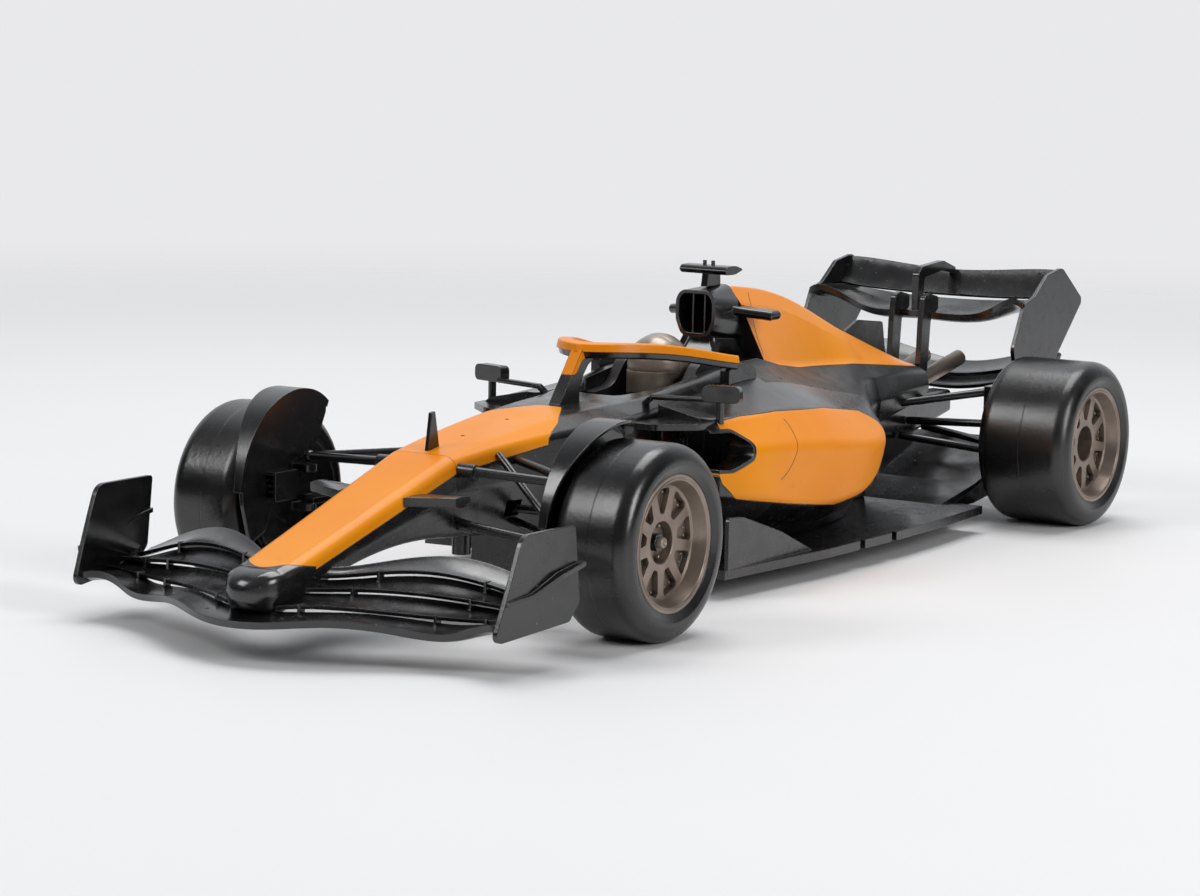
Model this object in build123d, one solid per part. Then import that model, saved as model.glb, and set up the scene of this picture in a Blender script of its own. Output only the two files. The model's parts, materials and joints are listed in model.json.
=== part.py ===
"""Open-wheel racing car, 1:18 display model in moulded plastic, built as separate pieces.

Frame: +Z up, the nose points along -Y, +X is the car's left side, Z = 0 is the floor under the tyres,
and the origin is at the middle of the car's length and width. Units are millimetres.
Stations along the car are given from the front axle, front(d), or from the rear axle, rear(d).
"""
from build123d import *
from math import cos, radians, sin
import os

# ---------------------------------------------------------------- driving dimensions
WHEELBASE = 198.0
FRONT_OVERHANG = 71.0            # front axle to the leading edge of the front wing
REAR_OVERHANG = 41.0             # rear axle to the trailing corner of the rear wing
LENGTH = FRONT_OVERHANG + WHEELBASE + REAR_OVERHANG

TYRE_RADIUS = 20.0
FRONT_TYRE_WIDTH = 17.6
REAR_TYRE_WIDTH = 24.0
FRONT_TYRE_FACE = 56.7           # centre plane to the outer face of a front tyre
REAR_TYRE_FACE = 56.0
TYRE_SHOULDER = 3.6              # corner radius of the tread
SIDEWALL_BULGE = 0.8             # the sidewall stands this far outside the rim's lip
RIM_RADIUS = 14.05               # over the lip
RIM_SEAT_RADIUS = 13.0           # the barrel that the tyre is pressed on
RIM_LIP = 0.8                    # width of the lip that the tyre's bead stops against
RIM_WALL = 0.9
RIM_DISH = 3.0                   # depth of the spoke face behind the lip
SPOKE_FACE = 2.2                 # thickness of the spoke disc
SPOKE_COUNT = 9
POCKET_DEPTH = 1.4
HUB_RECESS_RADIUS = 4.2
HUB_FLOOR = 3.0                  # thickness left under the hub recess
AXLE_RADIUS = 1.5
AXLE_HEAD = 1.4                  # thickness of the axle's hexagon head
AXLE_CLEARANCE = 0.06            # radial running clearance of a wheel on its axle
RUNNING_GAP = 0.35               # between a turning wheel and what stands beside it

KINGPIN_X = 34.6                 # steering axis, from the centre plane
KINGPIN_TOP = 29.5
KINGPIN_LOW = 16.2
BALL_RADIUS = 1.3
STEER_ARM = 11.0                 # kingpin to tie rod pin, towards the rear
TIE_ROD_Z = 21.5
TIE_ROD_RADIUS = 0.9
TIE_ROD_EYE = 1.7                # outer radius of the eye at each end
PIN_RADIUS = 0.8                 # steering arm's pin
PIN_CLEARANCE = 0.05

SKIN = 1.2                       # wall of thin moulded panels

FRONT_AXLE_Y = FRONT_OVERHANG - LENGTH / 2
REAR_AXLE_Y = FRONT_AXLE_Y + WHEELBASE
AXLE_Z = TYRE_RADIUS


def front(d):
    """Y of a station d millimetres behind the front axle."""
    return FRONT_AXLE_Y + d


def rear(d):
    """Y of a station d millimetres behind the rear axle."""
    return REAR_AXLE_Y + d


# ---------------------------------------------------------------- helpers
def across(y):
    """Plane across the car at Y = y, with local x = X and local y = Z."""
    return Plane.XZ.offset(-y)


def side_plane(x):
    """Plane along the car at X = x, with local x = Y and local y = Z."""
    return Plane.YZ.offset(x)


def polygon(plane, points, radii=0.0):
    """Filled polygon on a plane, each corner rounded by its own radius."""
    corners = [plane.from_local_coords(p) for p in points]
    if not isinstance(radii, (list, tuple)):
        radii = [radii] * len(points)
    face = Face(Wire.make_polygon(corners, close=True))
    for corner, radius in zip(corners, radii):
        if radius > 0:
            vertex = min(face.vertices(), key=lambda v: (Vector(*v) - corner).length)
            face = face.fillet_2d(radius, [vertex])
    return face


def mirrored(shape):
    """The same shape on the other side of the car."""
    return shape.mirror(Plane.YZ)


def rod(a, b, radius, radius_b=None):
    """Round rod from point a to point b, tapering to radius_b."""
    start, end = Vector(*a), Vector(*b)
    axis = end - start
    plane = Plane(origin=start, z_dir=axis)
    if radius_b is None or radius_b == radius:
        return Solid.make_cylinder(radius, axis.length, plane)
    return Solid.make_cone(radius, radius_b, axis.length, plane)


def ball(centre, radius):
    """Solid sphere."""
    return Solid.make_sphere(radius, angle1=-90, angle2=90, angle3=360).move(Location(centre))


def box(x0, x1, y0, y1, z0, z1):
    """Box between six coordinates."""
    return Solid.make_box(x1 - x0, y1 - y0, z1 - z0).move(Location((x0, y0, z0)))


def prism_x(points, x0, x1, radii=0.0):
    """Side-view outline [(y, z), ...] pulled out from X = x0 to X = x1."""
    return extrude(polygon(side_plane(x0), points, radii), x1 - x0, dir=(1, 0, 0))


def prism_z(points, z0, z1, radii=0.0):
    """Plan outline [(x, y), ...] pulled up from Z = z0 to Z = z1."""
    return extrude(polygon(Plane.XY.offset(z0), points, radii), z1 - z0, dir=(0, 0, 1))


def hull_section(y, half, radii):
    """Closed section across the car from its right-hand half, listed from the top down."""
    left = [(-x, z) for x, z in reversed(half)]
    return polygon(across(y), list(half) + left, list(radii) + list(reversed(radii)))


def blade_section(x, le, te, sag, le_thick, te_thick):
    """Cambered wing section in a plane X = x: two arcs closed by short flat ends.

    le and te are the (y, z) centres of the two ends, and sag is how far the middle hangs below the chord.
    """
    plane = side_plane(x)
    chord = Vector(te[0] - le[0], te[1] - le[1], 0)
    normal = Vector(-chord.Y, chord.X, 0).normalized()
    mid_thick = 1.25 * max(le_thick, te_thick)

    def point(base, offset):
        """Point on the section."""
        return plane.from_local_coords((base[0] + normal.X * offset, base[1] + normal.Y * offset))

    middle = ((le[0] + te[0]) / 2, (le[1] + te[1]) / 2)
    a, b = point(le, -le_thick / 2), point(te, -te_thick / 2)
    c, d = point(te, te_thick / 2), point(le, le_thick / 2)
    lower = Edge.make_three_point_arc(a, point(middle, -sag - mid_thick / 2), b)
    upper = Edge.make_three_point_arc(c, point(middle, -sag + mid_thick / 2), d)
    return Face(Wire([lower, Edge.make_line(b, c), upper, Edge.make_line(d, a)]))


def blade(rows, le_thick=0.9, te_thick=0.6):
    """Wing element lofted through rows of (x, le_y, le_z, te_y, te_z, sag)."""
    return loft([blade_section(x, (ly, lz), (ty, tz), sag, le_thick, te_thick)
                 for x, ly, lz, ty, tz, sag in rows])


# ---------------------------------------------------------------- wheels
def tyre(face_x, width):
    """Slick tyre, a ring around the X axis, pressed on the rim's barrel. face_x is its outer face."""
    lip = face_x - SIDEWALL_BULGE
    inner = face_x - width
    tread = TYRE_RADIUS
    r = TYRE_SHOULDER
    wall_foot = RIM_RADIUS + 1.6
    points = [
        (lip - RIM_LIP, RIM_SEAT_RADIUS), (lip - RIM_LIP, RIM_RADIUS), (lip, RIM_RADIUS), (face_x,
                wall_foot), (face_x, tread),
        (inner, tread), (inner, wall_foot), (inner + SIDEWALL_BULGE, RIM_RADIUS), (inner + SIDEWALL_BULGE,
                RIM_SEAT_RADIUS),
    ]
    profile = polygon(Plane.XZ, points, [0, 0, 0, 0.8, r, r, 0.8, 0, 0])
    return revolve(profile, Axis.X, 360)


def rim(face_x, width, hub_depth):
    """Dished wheel: barrel with an outer lip, spoke disc with pockets, hub with a recess and a bore."""
    lip = face_x - SIDEWALL_BULGE
    inner = face_x - width + SIDEWALL_BULGE
    wall = RIM_SEAT_RADIUS - RIM_WALL
    disc = lip - RIM_DISH
    back = disc - SPOKE_FACE
    hub_back = back - hub_depth
    bore = AXLE_RADIUS + AXLE_CLEARANCE
    hub_wall = 1.1
    floor_x = hub_back + HUB_FLOOR
    half = [
        (lip - RIM_LIP, RIM_SEAT_RADIUS), (lip - RIM_LIP, RIM_RADIUS), (lip, RIM_RADIUS),
        (lip, RIM_RADIUS - 1.3), (disc, wall - 0.5), (disc, HUB_RECESS_RADIUS),
        (floor_x, HUB_RECESS_RADIUS), (floor_x, bore), (hub_back, bore),
        (hub_back, HUB_RECESS_RADIUS + hub_wall), (back, HUB_RECESS_RADIUS + hub_wall),
        (back, wall), (inner, wall), (inner, RIM_SEAT_RADIUS),
    ]
    body = revolve(polygon(Plane.XZ, half, [0, 0, 0.25, 0.3, 0.3, 0.3] + [0] * 8), Axis.X, 360)
    pockets = []
    for i in range(SPOKE_COUNT):
        pocket = prism_x(
            [(-0.75, HUB_RECESS_RADIUS + 1.6), (0.75, HUB_RECESS_RADIUS + 1.6), (2.9, wall - 1.2),
             (-2.9, wall - 1.2)],
            disc - POCKET_DEPTH, disc + 1, [0.6, 0.6, 0.8, 0.8])
        pockets.append(pocket.rotate(Axis.X, 360 / SPOKE_COUNT * i))
    return body - pockets


def wheel(y, face_x, width, hub_depth, side):
    """Tyre and rim of one wheel, side +1 for the car's left."""
    place = Location((0, y, AXLE_Z))
    parts = [tyre(face_x, width).moved(place), rim(face_x, width, hub_depth).moved(place)]
    return parts if side > 0 else [mirrored(p) for p in parts]


FRONT_HUB_DEPTH = 3.0
REAR_HUB_DEPTH = 6.0


def hub_back_x(face_x, hub_depth):
    """Inboard face of a rim's hub."""
    return face_x - SIDEWALL_BULGE - RIM_DISH - SPOKE_FACE - hub_depth


# ---------------------------------------------------------------- front corner
DISC_RADIUS = 13.4
DISC_THICK = 1.0
DRUM_RADIUS = RIM_SEAT_RADIUS - RIM_WALL - 0.7
FAIRING_THICK = 0.9


def brake_disc_x(face_x, width):
    """Outboard face of the cover plate beside the tyre."""
    return face_x - width - RUNNING_GAP


def drum(face_x, width, hub_depth):
    """Brake drum inside a wheel, with the plate that covers the wheel's inner side."""
    plate_out = brake_disc_x(face_x, width)
    plate_in = plate_out - DISC_THICK
    drum_end = hub_back_x(face_x, hub_depth) - RUNNING_GAP
    solid = rod((plate_in, 0, 0), (plate_out, 0, 0), DISC_RADIUS)
    return solid + rod((plate_in, 0, 0), (drum_end, 0, 0), DRUM_RADIUS)


def axle_pin(face_x, hub_depth, head_radius):
    """Shouldered axle through a rim's hub, with a hexagon head that keeps the wheel on."""
    start = hub_back_x(face_x, hub_depth) - RUNNING_GAP
    head = hub_back_x(face_x, hub_depth) + HUB_FLOOR + 0.25
    shaft = rod((start, 0, 0), (head, 0, 0), AXLE_RADIUS)
    nut = extrude(Plane.YZ.offset(head) * RegularPolygon(head_radius, 6), AXLE_HEAD, dir=(1, 0, 0))
    return shaft + nut


def front_knuckle():
    """Upright of the car's left front wheel: drum, kingpin bosses, brake duct and steering arm."""
    plate_in = brake_disc_x(FRONT_TYRE_FACE, FRONT_TYRE_WIDTH) - DISC_THICK
    body = drum(FRONT_TYRE_FACE, FRONT_TYRE_WIDTH, FRONT_HUB_DEPTH)
    top, low = KINGPIN_TOP - AXLE_Z, KINGPIN_LOW - AXLE_Z
    post = BALL_RADIUS + 0.3
    lug = 1.5
    for z in (top, low):
        away = -1 if z > 0 else 1
        z_pin = z + away * (BALL_RADIUS + 0.45)
        low_face, high_face = min(z_pin, z_pin + away * lug), max(z_pin, z_pin + away * lug)
        body += box(KINGPIN_X, plate_in + 0.1, -post, post, low_face, high_face)
        body += rod((KINGPIN_X, 0, low_face), (KINGPIN_X, 0, high_face), post)
    duct = box(plate_in - 3.6, plate_in + 0.1, -12.0, -4.6, 1.0, 7.2)
    mouth = box(plate_in - 3.0, plate_in - 0.5, -13.0, -7.0, 1.7, 6.5)
    slats = [box(plate_in - 3.2, plate_in - 0.3, -11.4, -10.2, z, z + 0.45) for z in (2.7, 3.9, 5.1)]
    body += (duct - mouth)
    for slat in slats:
        body += slat
    arm_z = TIE_ROD_Z - AXLE_Z
    arm = box(KINGPIN_X - 1.3, KINGPIN_X + 1.3, 0, STEER_ARM + 1.6, arm_z - 2.2, arm_z - 0.9)
    arm += box(KINGPIN_X - 1.3, plate_in + 0.1, 3.0, 6.0, arm_z - 2.2, arm_z - 0.9)
    arm += rod((KINGPIN_X, STEER_ARM, arm_z - 1.0), (KINGPIN_X, STEER_ARM, arm_z + 1.1), PIN_RADIUS)
    return body + arm


# Wheel deflector, in the side view around the axle: angle (90 is straight up, 180 straight ahead),
# inner radius, outer radius, and how far its lip reaches out over the tread.
DEFLECTOR_ROWS = [
    (204.0, 13.0, 18.6, 0.0),
    (170.0, 9.0, 20.8, 0.9),
    (140.0, 9.0, 22.0, 2.6),
    (112.0, 9.0, 23.2, 5.4),
    (88.0, 9.0, 23.6, 6.0),
    (64.0, 10.5, 22.4, 1.6),
]
DEFLECTOR_LIP = 1.4              # height of the lip's root on the plate


def deflector():
    """Curved deflector of the left front wheel: a plate beside the tyre whose top curls over the tread."""
    x_out = brake_disc_x(FRONT_TYRE_FACE, FRONT_TYRE_WIDTH) - DISC_THICK
    x_in = x_out - FAIRING_THICK

    def polar(angle, radius):
        """Point at this angle and radius."""
        return (radius * cos(radians(angle)), radius * sin(radians(angle)))

    outer = [polar(a, r - 0.2) for a, _, r, _ in DEFLECTOR_ROWS]
    inner = [polar(a, r) for a, r, _, _ in reversed(DEFLECTOR_ROWS)]
    plate = prism_x(outer + inner, x_in, x_out, [0.8, 12, 14, 14, 10, 2.5, 1.5, 2, 2, 2, 2, 0.8])
    sections = []
    for angle, _, radius, reach in DEFLECTOR_ROWS[1:]:
        along = Vector(0, cos(radians(angle)), sin(radians(angle)))
        foot = radius - DEFLECTOR_LIP
        corners = [(x_in, foot), (x_out, foot), (x_out + 0.3, radius - 0.8), (x_out + reach, radius - 0.55),
                   (x_out + reach, radius), (x_in, radius)]
        sections.append(Face(Wire.make_polygon([Vector(x, 0, 0) + along * r for x, r in corners],
                                               close=True)))
    return plate + loft(sections)


# ---------------------------------------------------------------- nose and tub
# Each row: station behind the front axle, how much of NOSE_RADII its corners get, then for the right
# half, top down: roof half-width and height, shoulder, waist, bottom corner.
TIP_ROWS = [
    # d, round, roof x, roof z, shoulder x, shoulder z, waist x, waist z, keel x, keel z
    (-66.6, 0.50, 1.8, 14.2, 3.0, 13.4, 3.2, 11.6, 2.2, 10.2),
    (-65.0, 0.60, 2.9, 15.6, 4.6, 14.6, 5.0, 12.0, 3.8, 9.2),
    (-61.8, 0.80, 4.1, 17.2, 6.0, 16.1, 6.4, 12.8, 5.0, 8.8),
    (-58.0, 1.00, 4.8, 18.2, 6.8, 17.1, 7.1, 13.3, 5.6, 9.6),
]
NOSE_ROWS = [
    (-58.0, 1.00, 4.8, 18.2, 6.8, 17.1, 7.1, 13.3, 5.6, 9.6),
    (-41.0, 1.00, 5.3, 23.5, 7.3, 22.4, 7.7, 18.2, 6.2, 15.0),
    (-25.0, 1.00, 5.8, 28.6, 7.8, 27.4, 8.3, 22.2, 6.7, 17.4),
    (-8.0, 1.00, 6.4, 34.0, 8.4, 32.8, 8.9, 26.8, 7.2, 17.0),
]
TUB_ROWS = [
    (-8.0, 1.00, 6.4, 34.0, 8.4, 32.8, 8.9, 26.8, 7.2, 17.0),
    (10.0, 1.00, 7.6, 36.6, 10.8, 35.0, 11.4, 27.0, 8.4, 15.6),
    (29.0, 1.00, 8.8, 38.6, 13.6, 36.4, 14.4, 26.6, 9.6, 12.6),
    (48.0, 1.00, 9.8, 39.8, 16.2, 37.4, 17.0, 26.0, 11.0, 8.6),
]
NOSE_RADII = [3.0, 2.0, 3.0, 2.0]
NOSE_JOINT = -8.0                # seam between the nose and the tub
NOSE_TIP_SEAM = -61.8            # front of the orange nose panel
NOSE_PANEL_FRONT = 9.4           # half-width of its cutter at the tip, outside the nose's own sides
NOSE_PANEL_REAR = 12.0
TUB_PANEL_END = 39.6             # rear point of the orange tub panel
TUB_HALF = 17.0                  # tub half-width beside the sidepods
COCKPIT_REAR = 97.0


def hull_rows(rows, radii):
    """Sections of a smooth body, from rows of right-half corner points."""
    sections = []
    for d, share, *corners in rows:
        half = list(zip(corners[0::2], corners[1::2]))
        sections.append(hull_section(front(d), half, [radius * share for radius in radii]))
    return sections


def nose_volume():
    """Whole outside volume of the nose."""
    tip = loft(hull_rows(TIP_ROWS, NOSE_RADII))
    return tip + loft(hull_rows(NOSE_ROWS, NOSE_RADII))


def tub_volume():
    """Whole outside volume of the tub ahead of the cockpit."""
    return loft(hull_rows(TUB_ROWS, NOSE_RADII))


def panel_cutter(d0, d1, z0, z1, plan, radii):
    """Block above the seam from (d0, z0) to (d1, z1), with the panel's plan outline."""
    side = prism_x([(front(d0), z0), (front(d1), z1), (front(d1), 70), (front(d0), 70)], -25, 25)
    return side & prism_z([(x, front(d)) for x, d in plan], 0, 70, radii)


def nose_cutter():
    """Volume that parts the nose's orange top panel from its black shell."""
    w0, w1 = NOSE_PANEL_FRONT, NOSE_PANEL_REAR
    plan = [(-w0, NOSE_TIP_SEAM), (w0, NOSE_TIP_SEAM), (w1, NOSE_JOINT), (-w1, NOSE_JOINT)]
    return panel_cutter(NOSE_TIP_SEAM, NOSE_JOINT, 13.8, 30.4, plan, [5.6, 5.6, 0, 0])


def tub_cutter():
    """Volume that parts the tub's orange top panel from its black sides."""
    half = [(3.0, TUB_PANEL_END), (10.2, 27.0), (13.4, 17.0), (14.6, 8.0), (14.6, NOSE_JOINT)]
    plan = [(-x, d) for x, d in reversed(half)] + half
    return panel_cutter(NOSE_JOINT, TUB_PANEL_END, 30.6, 36.3, plan, [0, 4, 8, 8, 3, 3, 8, 8, 4, 0])


def front_slot():
    """Slot through the tub that the steering tie rod passes through."""
    return box(-40, 40, FRONT_AXLE_Y + STEER_ARM - 2.6, FRONT_AXLE_Y + STEER_ARM + 2.0, TIE_ROD_Z - 1.7,
               TIE_ROD_Z + 1.7)


def nose_winglet():
    """Aerofoil stub on the car's left of the nose."""
    rows = [(8.0, front(-25.4), 26.6, front(-16.8), 26.9, 0.2),
            (18.0, front(-21.6), 26.9, front(-16.4), 27.3, 0.2)]
    return loft([blade_section(x, (ly, lz), (ty, tz), sag, 1.8, 0.9) for x, ly, lz, ty, tz, sag in rows])


# ---------------------------------------------------------------- front wing
# Each row: x, then the leading edges (station, z) of main plane and three flaps, then the last trailing edge.
FRONT_WING_ROWS = [
    (6.0, (-70.4, 7.8), (-64.0, 10.4), (-57.0, 13.0), (-53.0, 15.2), (-49.6, 16.5)),
    (17.4, (-65.0, 8.8), (-57.8, 10.6), (-48.8, 12.9), (-44.8, 15.9), (-41.0, 17.8)),
    (28.8, (-57.8, 7.6), (-51.4, 9.7), (-45.6, 12.8), (-41.6, 16.4), (-36.0, 18.9)),
    (40.1, (-53.0, 7.2), (-46.8, 9.3), (-42.8, 12.0), (-38.6, 14.4), (-33.2, 16.5)),
    (51.5, (-54.4, 9.2), (-45.4, 9.9), (-40.6, 11.1), (-35.8, 11.3), (-31.4, 11.9)),
]
SLOT_OVERLAP = 1.0               # how far a trailing edge reaches past the next leading edge
SLOT_RISE = 1.05                 # height between them
FLAP_SAG = 0.6
MAIN_LE = 1.4
FLAP_LE = 0.8
FLAP_TE = 0.5
BRACKET_X = ((10.0, 33.0, 42.5), (14.0, 37.0, 44.5), (16.5, 37.5))
BRACKET_THICK = 0.6


def wing_chord(row, k):
    """Leading and trailing edge (y, z) of element k in one row of the front wing."""
    d0, z0 = row[1 + k]
    d1, z1 = row[2 + k]
    if k < 3:
        d1, z1 = d1 + SLOT_OVERLAP, z1 - SLOT_RISE
    return (front(d0), z0), (front(d1), z1)


def front_element(k):
    """Left half of flap k of the front wing, from the nose to the endplate."""
    sections = []
    for row in FRONT_WING_ROWS:
        le, te = wing_chord(row, k)
        sections.append(blade_section(row[0], le, te, FLAP_SAG, FLAP_LE, FLAP_TE))
    return loft(sections)


def front_main_plane():
    """Main plane from endplate to endplate, passing under the nose."""
    left = []
    for row in FRONT_WING_ROWS:
        (le_y, le_z), (te_y, te_z) = wing_chord(row, 0)
        left.append((row[0], le_y, le_z, te_y, te_z, FLAP_SAG))
    right = [(-x, *rest) for x, *rest in reversed(left)]
    return blade(right + left, MAIN_LE, FLAP_TE)


ENDPLATE_OUTLINE = [(-56.8, 7.2), (-48.6, 27.2), (-31.0, 27.2), (-31.0, 12.5), (-34.5, 9.0)]
ENDPLATE_THICK = 1.0


def front_endplate():
    """Left endplate with the strake on its outer side."""
    low = [(49.9, front(-60)), (53.4, front(-30)), (53.4 + ENDPLATE_THICK, front(-30)),
           (49.9 + ENDPLATE_THICK, front(-60))]
    high = [(51.0, front(-60)), (51.4, front(-30)), (51.4 + ENDPLATE_THICK, front(-30)),
            (51.0 + ENDPLATE_THICK, front(-60))]
    blank = loft([polygon(Plane.XY.offset(6), low), polygon(Plane.XY.offset(28), high)], ruled=True)
    outline = prism_x([(front(d), z) for d, z in ENDPLATE_OUTLINE], 45, 60, [1.6, 3.4, 0.9, 1.5, 1.5])
    plate = blank & outline
    strake_rows = [(-53.5, 14.6), (-46.0, 15.4), (-38.0, 18.4), (-30.4, 19.8)]
    upper = [(front(d), z + 0.45) for d, z in strake_rows]
    lower = [(front(d), z - 0.45) for d, z in reversed(strake_rows)]
    strake = prism_x(upper + lower, 51.8, 54.6, [0, 3, 3, 0, 0, 3, 3, 0])
    taper = prism_z([(51.0, front(-53.6)), (52.3, front(-53.6)), (54.6, front(-38.0)), (54.6, front(-30.0)),
                     (51.0, front(-30.0))], 10, 24)
    return plate + (strake & taper)


def wing_edge(x, k):
    """Leading edge (station, z) of element k at X = x, on the curve through all the rows."""
    point = [0.0, 0.0]
    for row in FRONT_WING_ROWS:
        weight = 1.0
        for other in FRONT_WING_ROWS:
            if other is not row:
                weight *= (x - other[0]) / (row[0] - other[0])
        point = [total + weight * value for total, value in zip(point, row[1 + k])]
    return point


def front_brackets():
    """Small upright tabs that hold the flaps across their slots."""
    tabs = []
    for k, places in enumerate(BRACKET_X, start=1):
        for x in places:
            d, z = wing_edge(x, k)
            tabs.append(box(x - BRACKET_THICK / 2, x + BRACKET_THICK / 2, front(d) - 0.3, front(d) + 1.4,
                            z - 1.7, z + 0.6))
    return tabs


# ---------------------------------------------------------------- body volume behind the tub front
# Station, share of BODY_RADII, then the right half, top down: ridge, ridge shoulder, valley, deck shoulder,
# flank, panel foot, undercut, floor line.
BODY_ROWS = [
    (56.0, 1.0, 2.0, 60.0, 5.0, 57.0, 13.5, 40.4, 27.0, 37.6, 32.6, 32.0, 33.0, 21.0, 27.0, 13.0, 24.0, 6.4),
    (80.0, 1.0, 2.2, 61.0, 5.2, 57.5, 13.2, 42.2, 31.5, 37.0, 37.4, 30.0, 36.6, 17.4, 28.0, 10.5, 25.0, 6.4),
    (104.0, 1.0, 2.4, 61.0, 5.6, 57.5, 13.4, 43.6, 31.4, 35.4, 38.0, 28.0, 36.2, 15.0, 27.5, 9.5, 25.0, 6.4),
    (128.0, 1.0, 1.9, 58.6, 4.4, 54.6, 9.6, 41.2, 27.5, 33.2, 34.5, 26.5, 32.6, 17.0, 25.0, 10.0, 22.5, 6.4),
    (148.0, 1.0, 1.7, 53.0, 4.0, 49.2, 7.4, 40.2, 17.5, 34.8, 21.6, 28.0, 20.4, 18.5, 16.6, 11.0, 14.6, 6.4),
    (166.0, 1.0, 1.6, 46.4, 3.8, 43.6, 6.2, 39.6, 11.0, 35.4, 12.8, 30.0, 12.0, 20.0, 10.0, 12.0, 9.0, 6.4),
]
BODY_RADII = [1.2, 2.0, 4.0, 3.0, 4.0, 3.0, 2.5, 0.6]
TAIL_ROWS = [
    (166.0, 1.0, 1.6, 46.4, 3.8, 43.6, 6.2, 39.6, 11.0, 35.4, 12.8, 30.0, 12.0, 24.0),
    (184.0, 1.0, 1.6, 40.6, 3.6, 39.0, 6.2, 37.4, 9.2, 35.0, 10.4, 30.6, 9.2, 25.5),
    (200.0, 1.0, 1.4, 35.8, 3.2, 35.6, 5.2, 35.0, 7.2, 33.8, 8.2, 30.6, 7.0, 27.0),
]
TAIL_RADII = [0.6, 1.0, 1.5, 1.5, 2.0, 1.6]
BODY_END = 166.0
POD_FRONT = 56.0
POD_SPLIT = 20.0                 # seam between the sidepods and the engine cover, from the centre plane
POD_END = 142.0                  # rear face of the separate sidepod shells
SEAM = [(92.0, 48.2), (103.0, 46.0), (118.0, 42.6), (131.0, 40.8), (160.0, 39.2), (180.0, 37.2),
        (199.0, 35.2)]
LEAF = [
    (60.0, 36.4), (68.0, 36.9), (82.0, 36.9), (104.0, 35.6), (124.0, 33.0), (138.6, 28.4),
    (126.0, 19.0), (116.0, 15.4), (104.0, 14.0), (81.0, 17.0), (60.0, 20.2), (56.6, 23.6), (55.6, 26.8),
]
LEAF_RADII = [0.4, 4, 8, 16, 6, 2.2, 6, 4, 6, 8, 4, 1.5, 0.5]
INLET = [(48.0, 26.8), (59.0, 26.6), (64.6, 28.8), (65.2, 31.6), (62.0, 34.2), (48.0, 34.6)]
INLET_RADII = [0, 3, 2.0, 2.0, 3, 0]
INLET_RIM = [(48.0, 26.1), (59.2, 25.9), (65.3, 28.3), (66.0, 31.8), (62.3, 34.9), (48.0, 35.3)]
INLET_DEPTH = 72.0               # station where the duct ends
LEAF_INNER = 26.0                # inboard face of the orange side panels


def body_volume():
    """Whole outside volume of the body from the cockpit to the engine."""
    return loft(hull_rows(BODY_ROWS, BODY_RADII))


def tail_volume():
    """Whole outside volume of the tapering tail."""
    return loft(hull_rows(TAIL_ROWS, TAIL_RADII))


def seam_cutter():
    """Block above the boundary between the orange spine and the black cover."""
    top = [(front(d), z) for d, z in SEAM]
    return prism_x(top + [(front(205), 80), (front(92), 80)], -60, 60)


def cut_range(shape, d0, d1, x0=-80, x1=80, z0=-5, z1=90):
    """The part of a shape between two stations."""
    return shape & box(x0, x1, front(d0), front(d1), z0, z1)


def first_solids(shape):
    """Every solid of a shape, largest first."""
    return sorted(shape.solids(), key=lambda s: -s.volume)


def node(*shapes):
    """One node from the solids of several shapes."""
    solids = [s for shape in shapes for s in first_solids(shape)]
    if len(solids) == 1:
        return solids[0]
    return Compound(children=solids)


def tube(points, radii):
    """Round tube through points, one tapering rod per span with a ball at each bend."""
    shape = None
    for a, b, ra, rb in zip(points, points[1:], radii, radii[1:]):
        piece = rod(a, b, ra, rb)
        shape = piece if shape is None else shape + piece
    for p, r in zip(points[1:-1], radii[1:-1]):
        shape += ball(p, r)
    return shape


def strut(a, b, wide, thick):
    """Flat aerofoil-like bar from a to b, wide along the car and thick in height."""
    start, end = Vector(*a), Vector(*b)
    axis = end - start
    plane = Plane(origin=start, x_dir=(0, 1, 0), z_dir=axis)
    return extrude(plane * SlotOverall(wide, thick), axis.length, dir=axis.normalized())


# ---------------------------------------------------------------- cockpit
COCKPIT_HALF = 11.0
COCKPIT_FLOOR = 22.0
COCKPIT_OPEN = (58.0, 95.0)      # stations where the opening starts and ends
SURROUND_ROWS = [
    (48.0, 1.0, 9.8, 39.8, 16.2, 37.4, 17.0, 26.0, 11.0, 8.6),
    (64.4, 1.0, 12.2, 41.0, 16.4, 38.6, 17.0, 26.0, 13.0, 7.2),
    (80.7, 1.0, 13.8, 43.4, 16.6, 40.6, 17.0, 26.0, 14.4, 6.6),
    (97.0, 1.0, 13.6, 44.8, 16.7, 42.0, 17.0, 26.0, 15.0, 6.6),
]


def surround_volume():
    """Outside volume of the cockpit surround."""
    return loft(hull_rows(SURROUND_ROWS, NOSE_RADII))


def cockpit_cutter():
    """The opening the driver sits in."""
    d0, d1 = COCKPIT_OPEN
    h = COCKPIT_HALF
    plan = [(-5.0, front(d0)), (5.0, front(d0)), (h, front(d0 + 12)), (h, front(d1)), (-h, front(d1)),
            (-h, front(d0 + 12))]
    return prism_z(plan, COCKPIT_FLOOR, 60, [3, 3, 5, 2, 2, 5])


HELMET_Y = 82.5
HELMET_Z = 44.9
HELMET_RADIUS = 6.6


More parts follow.
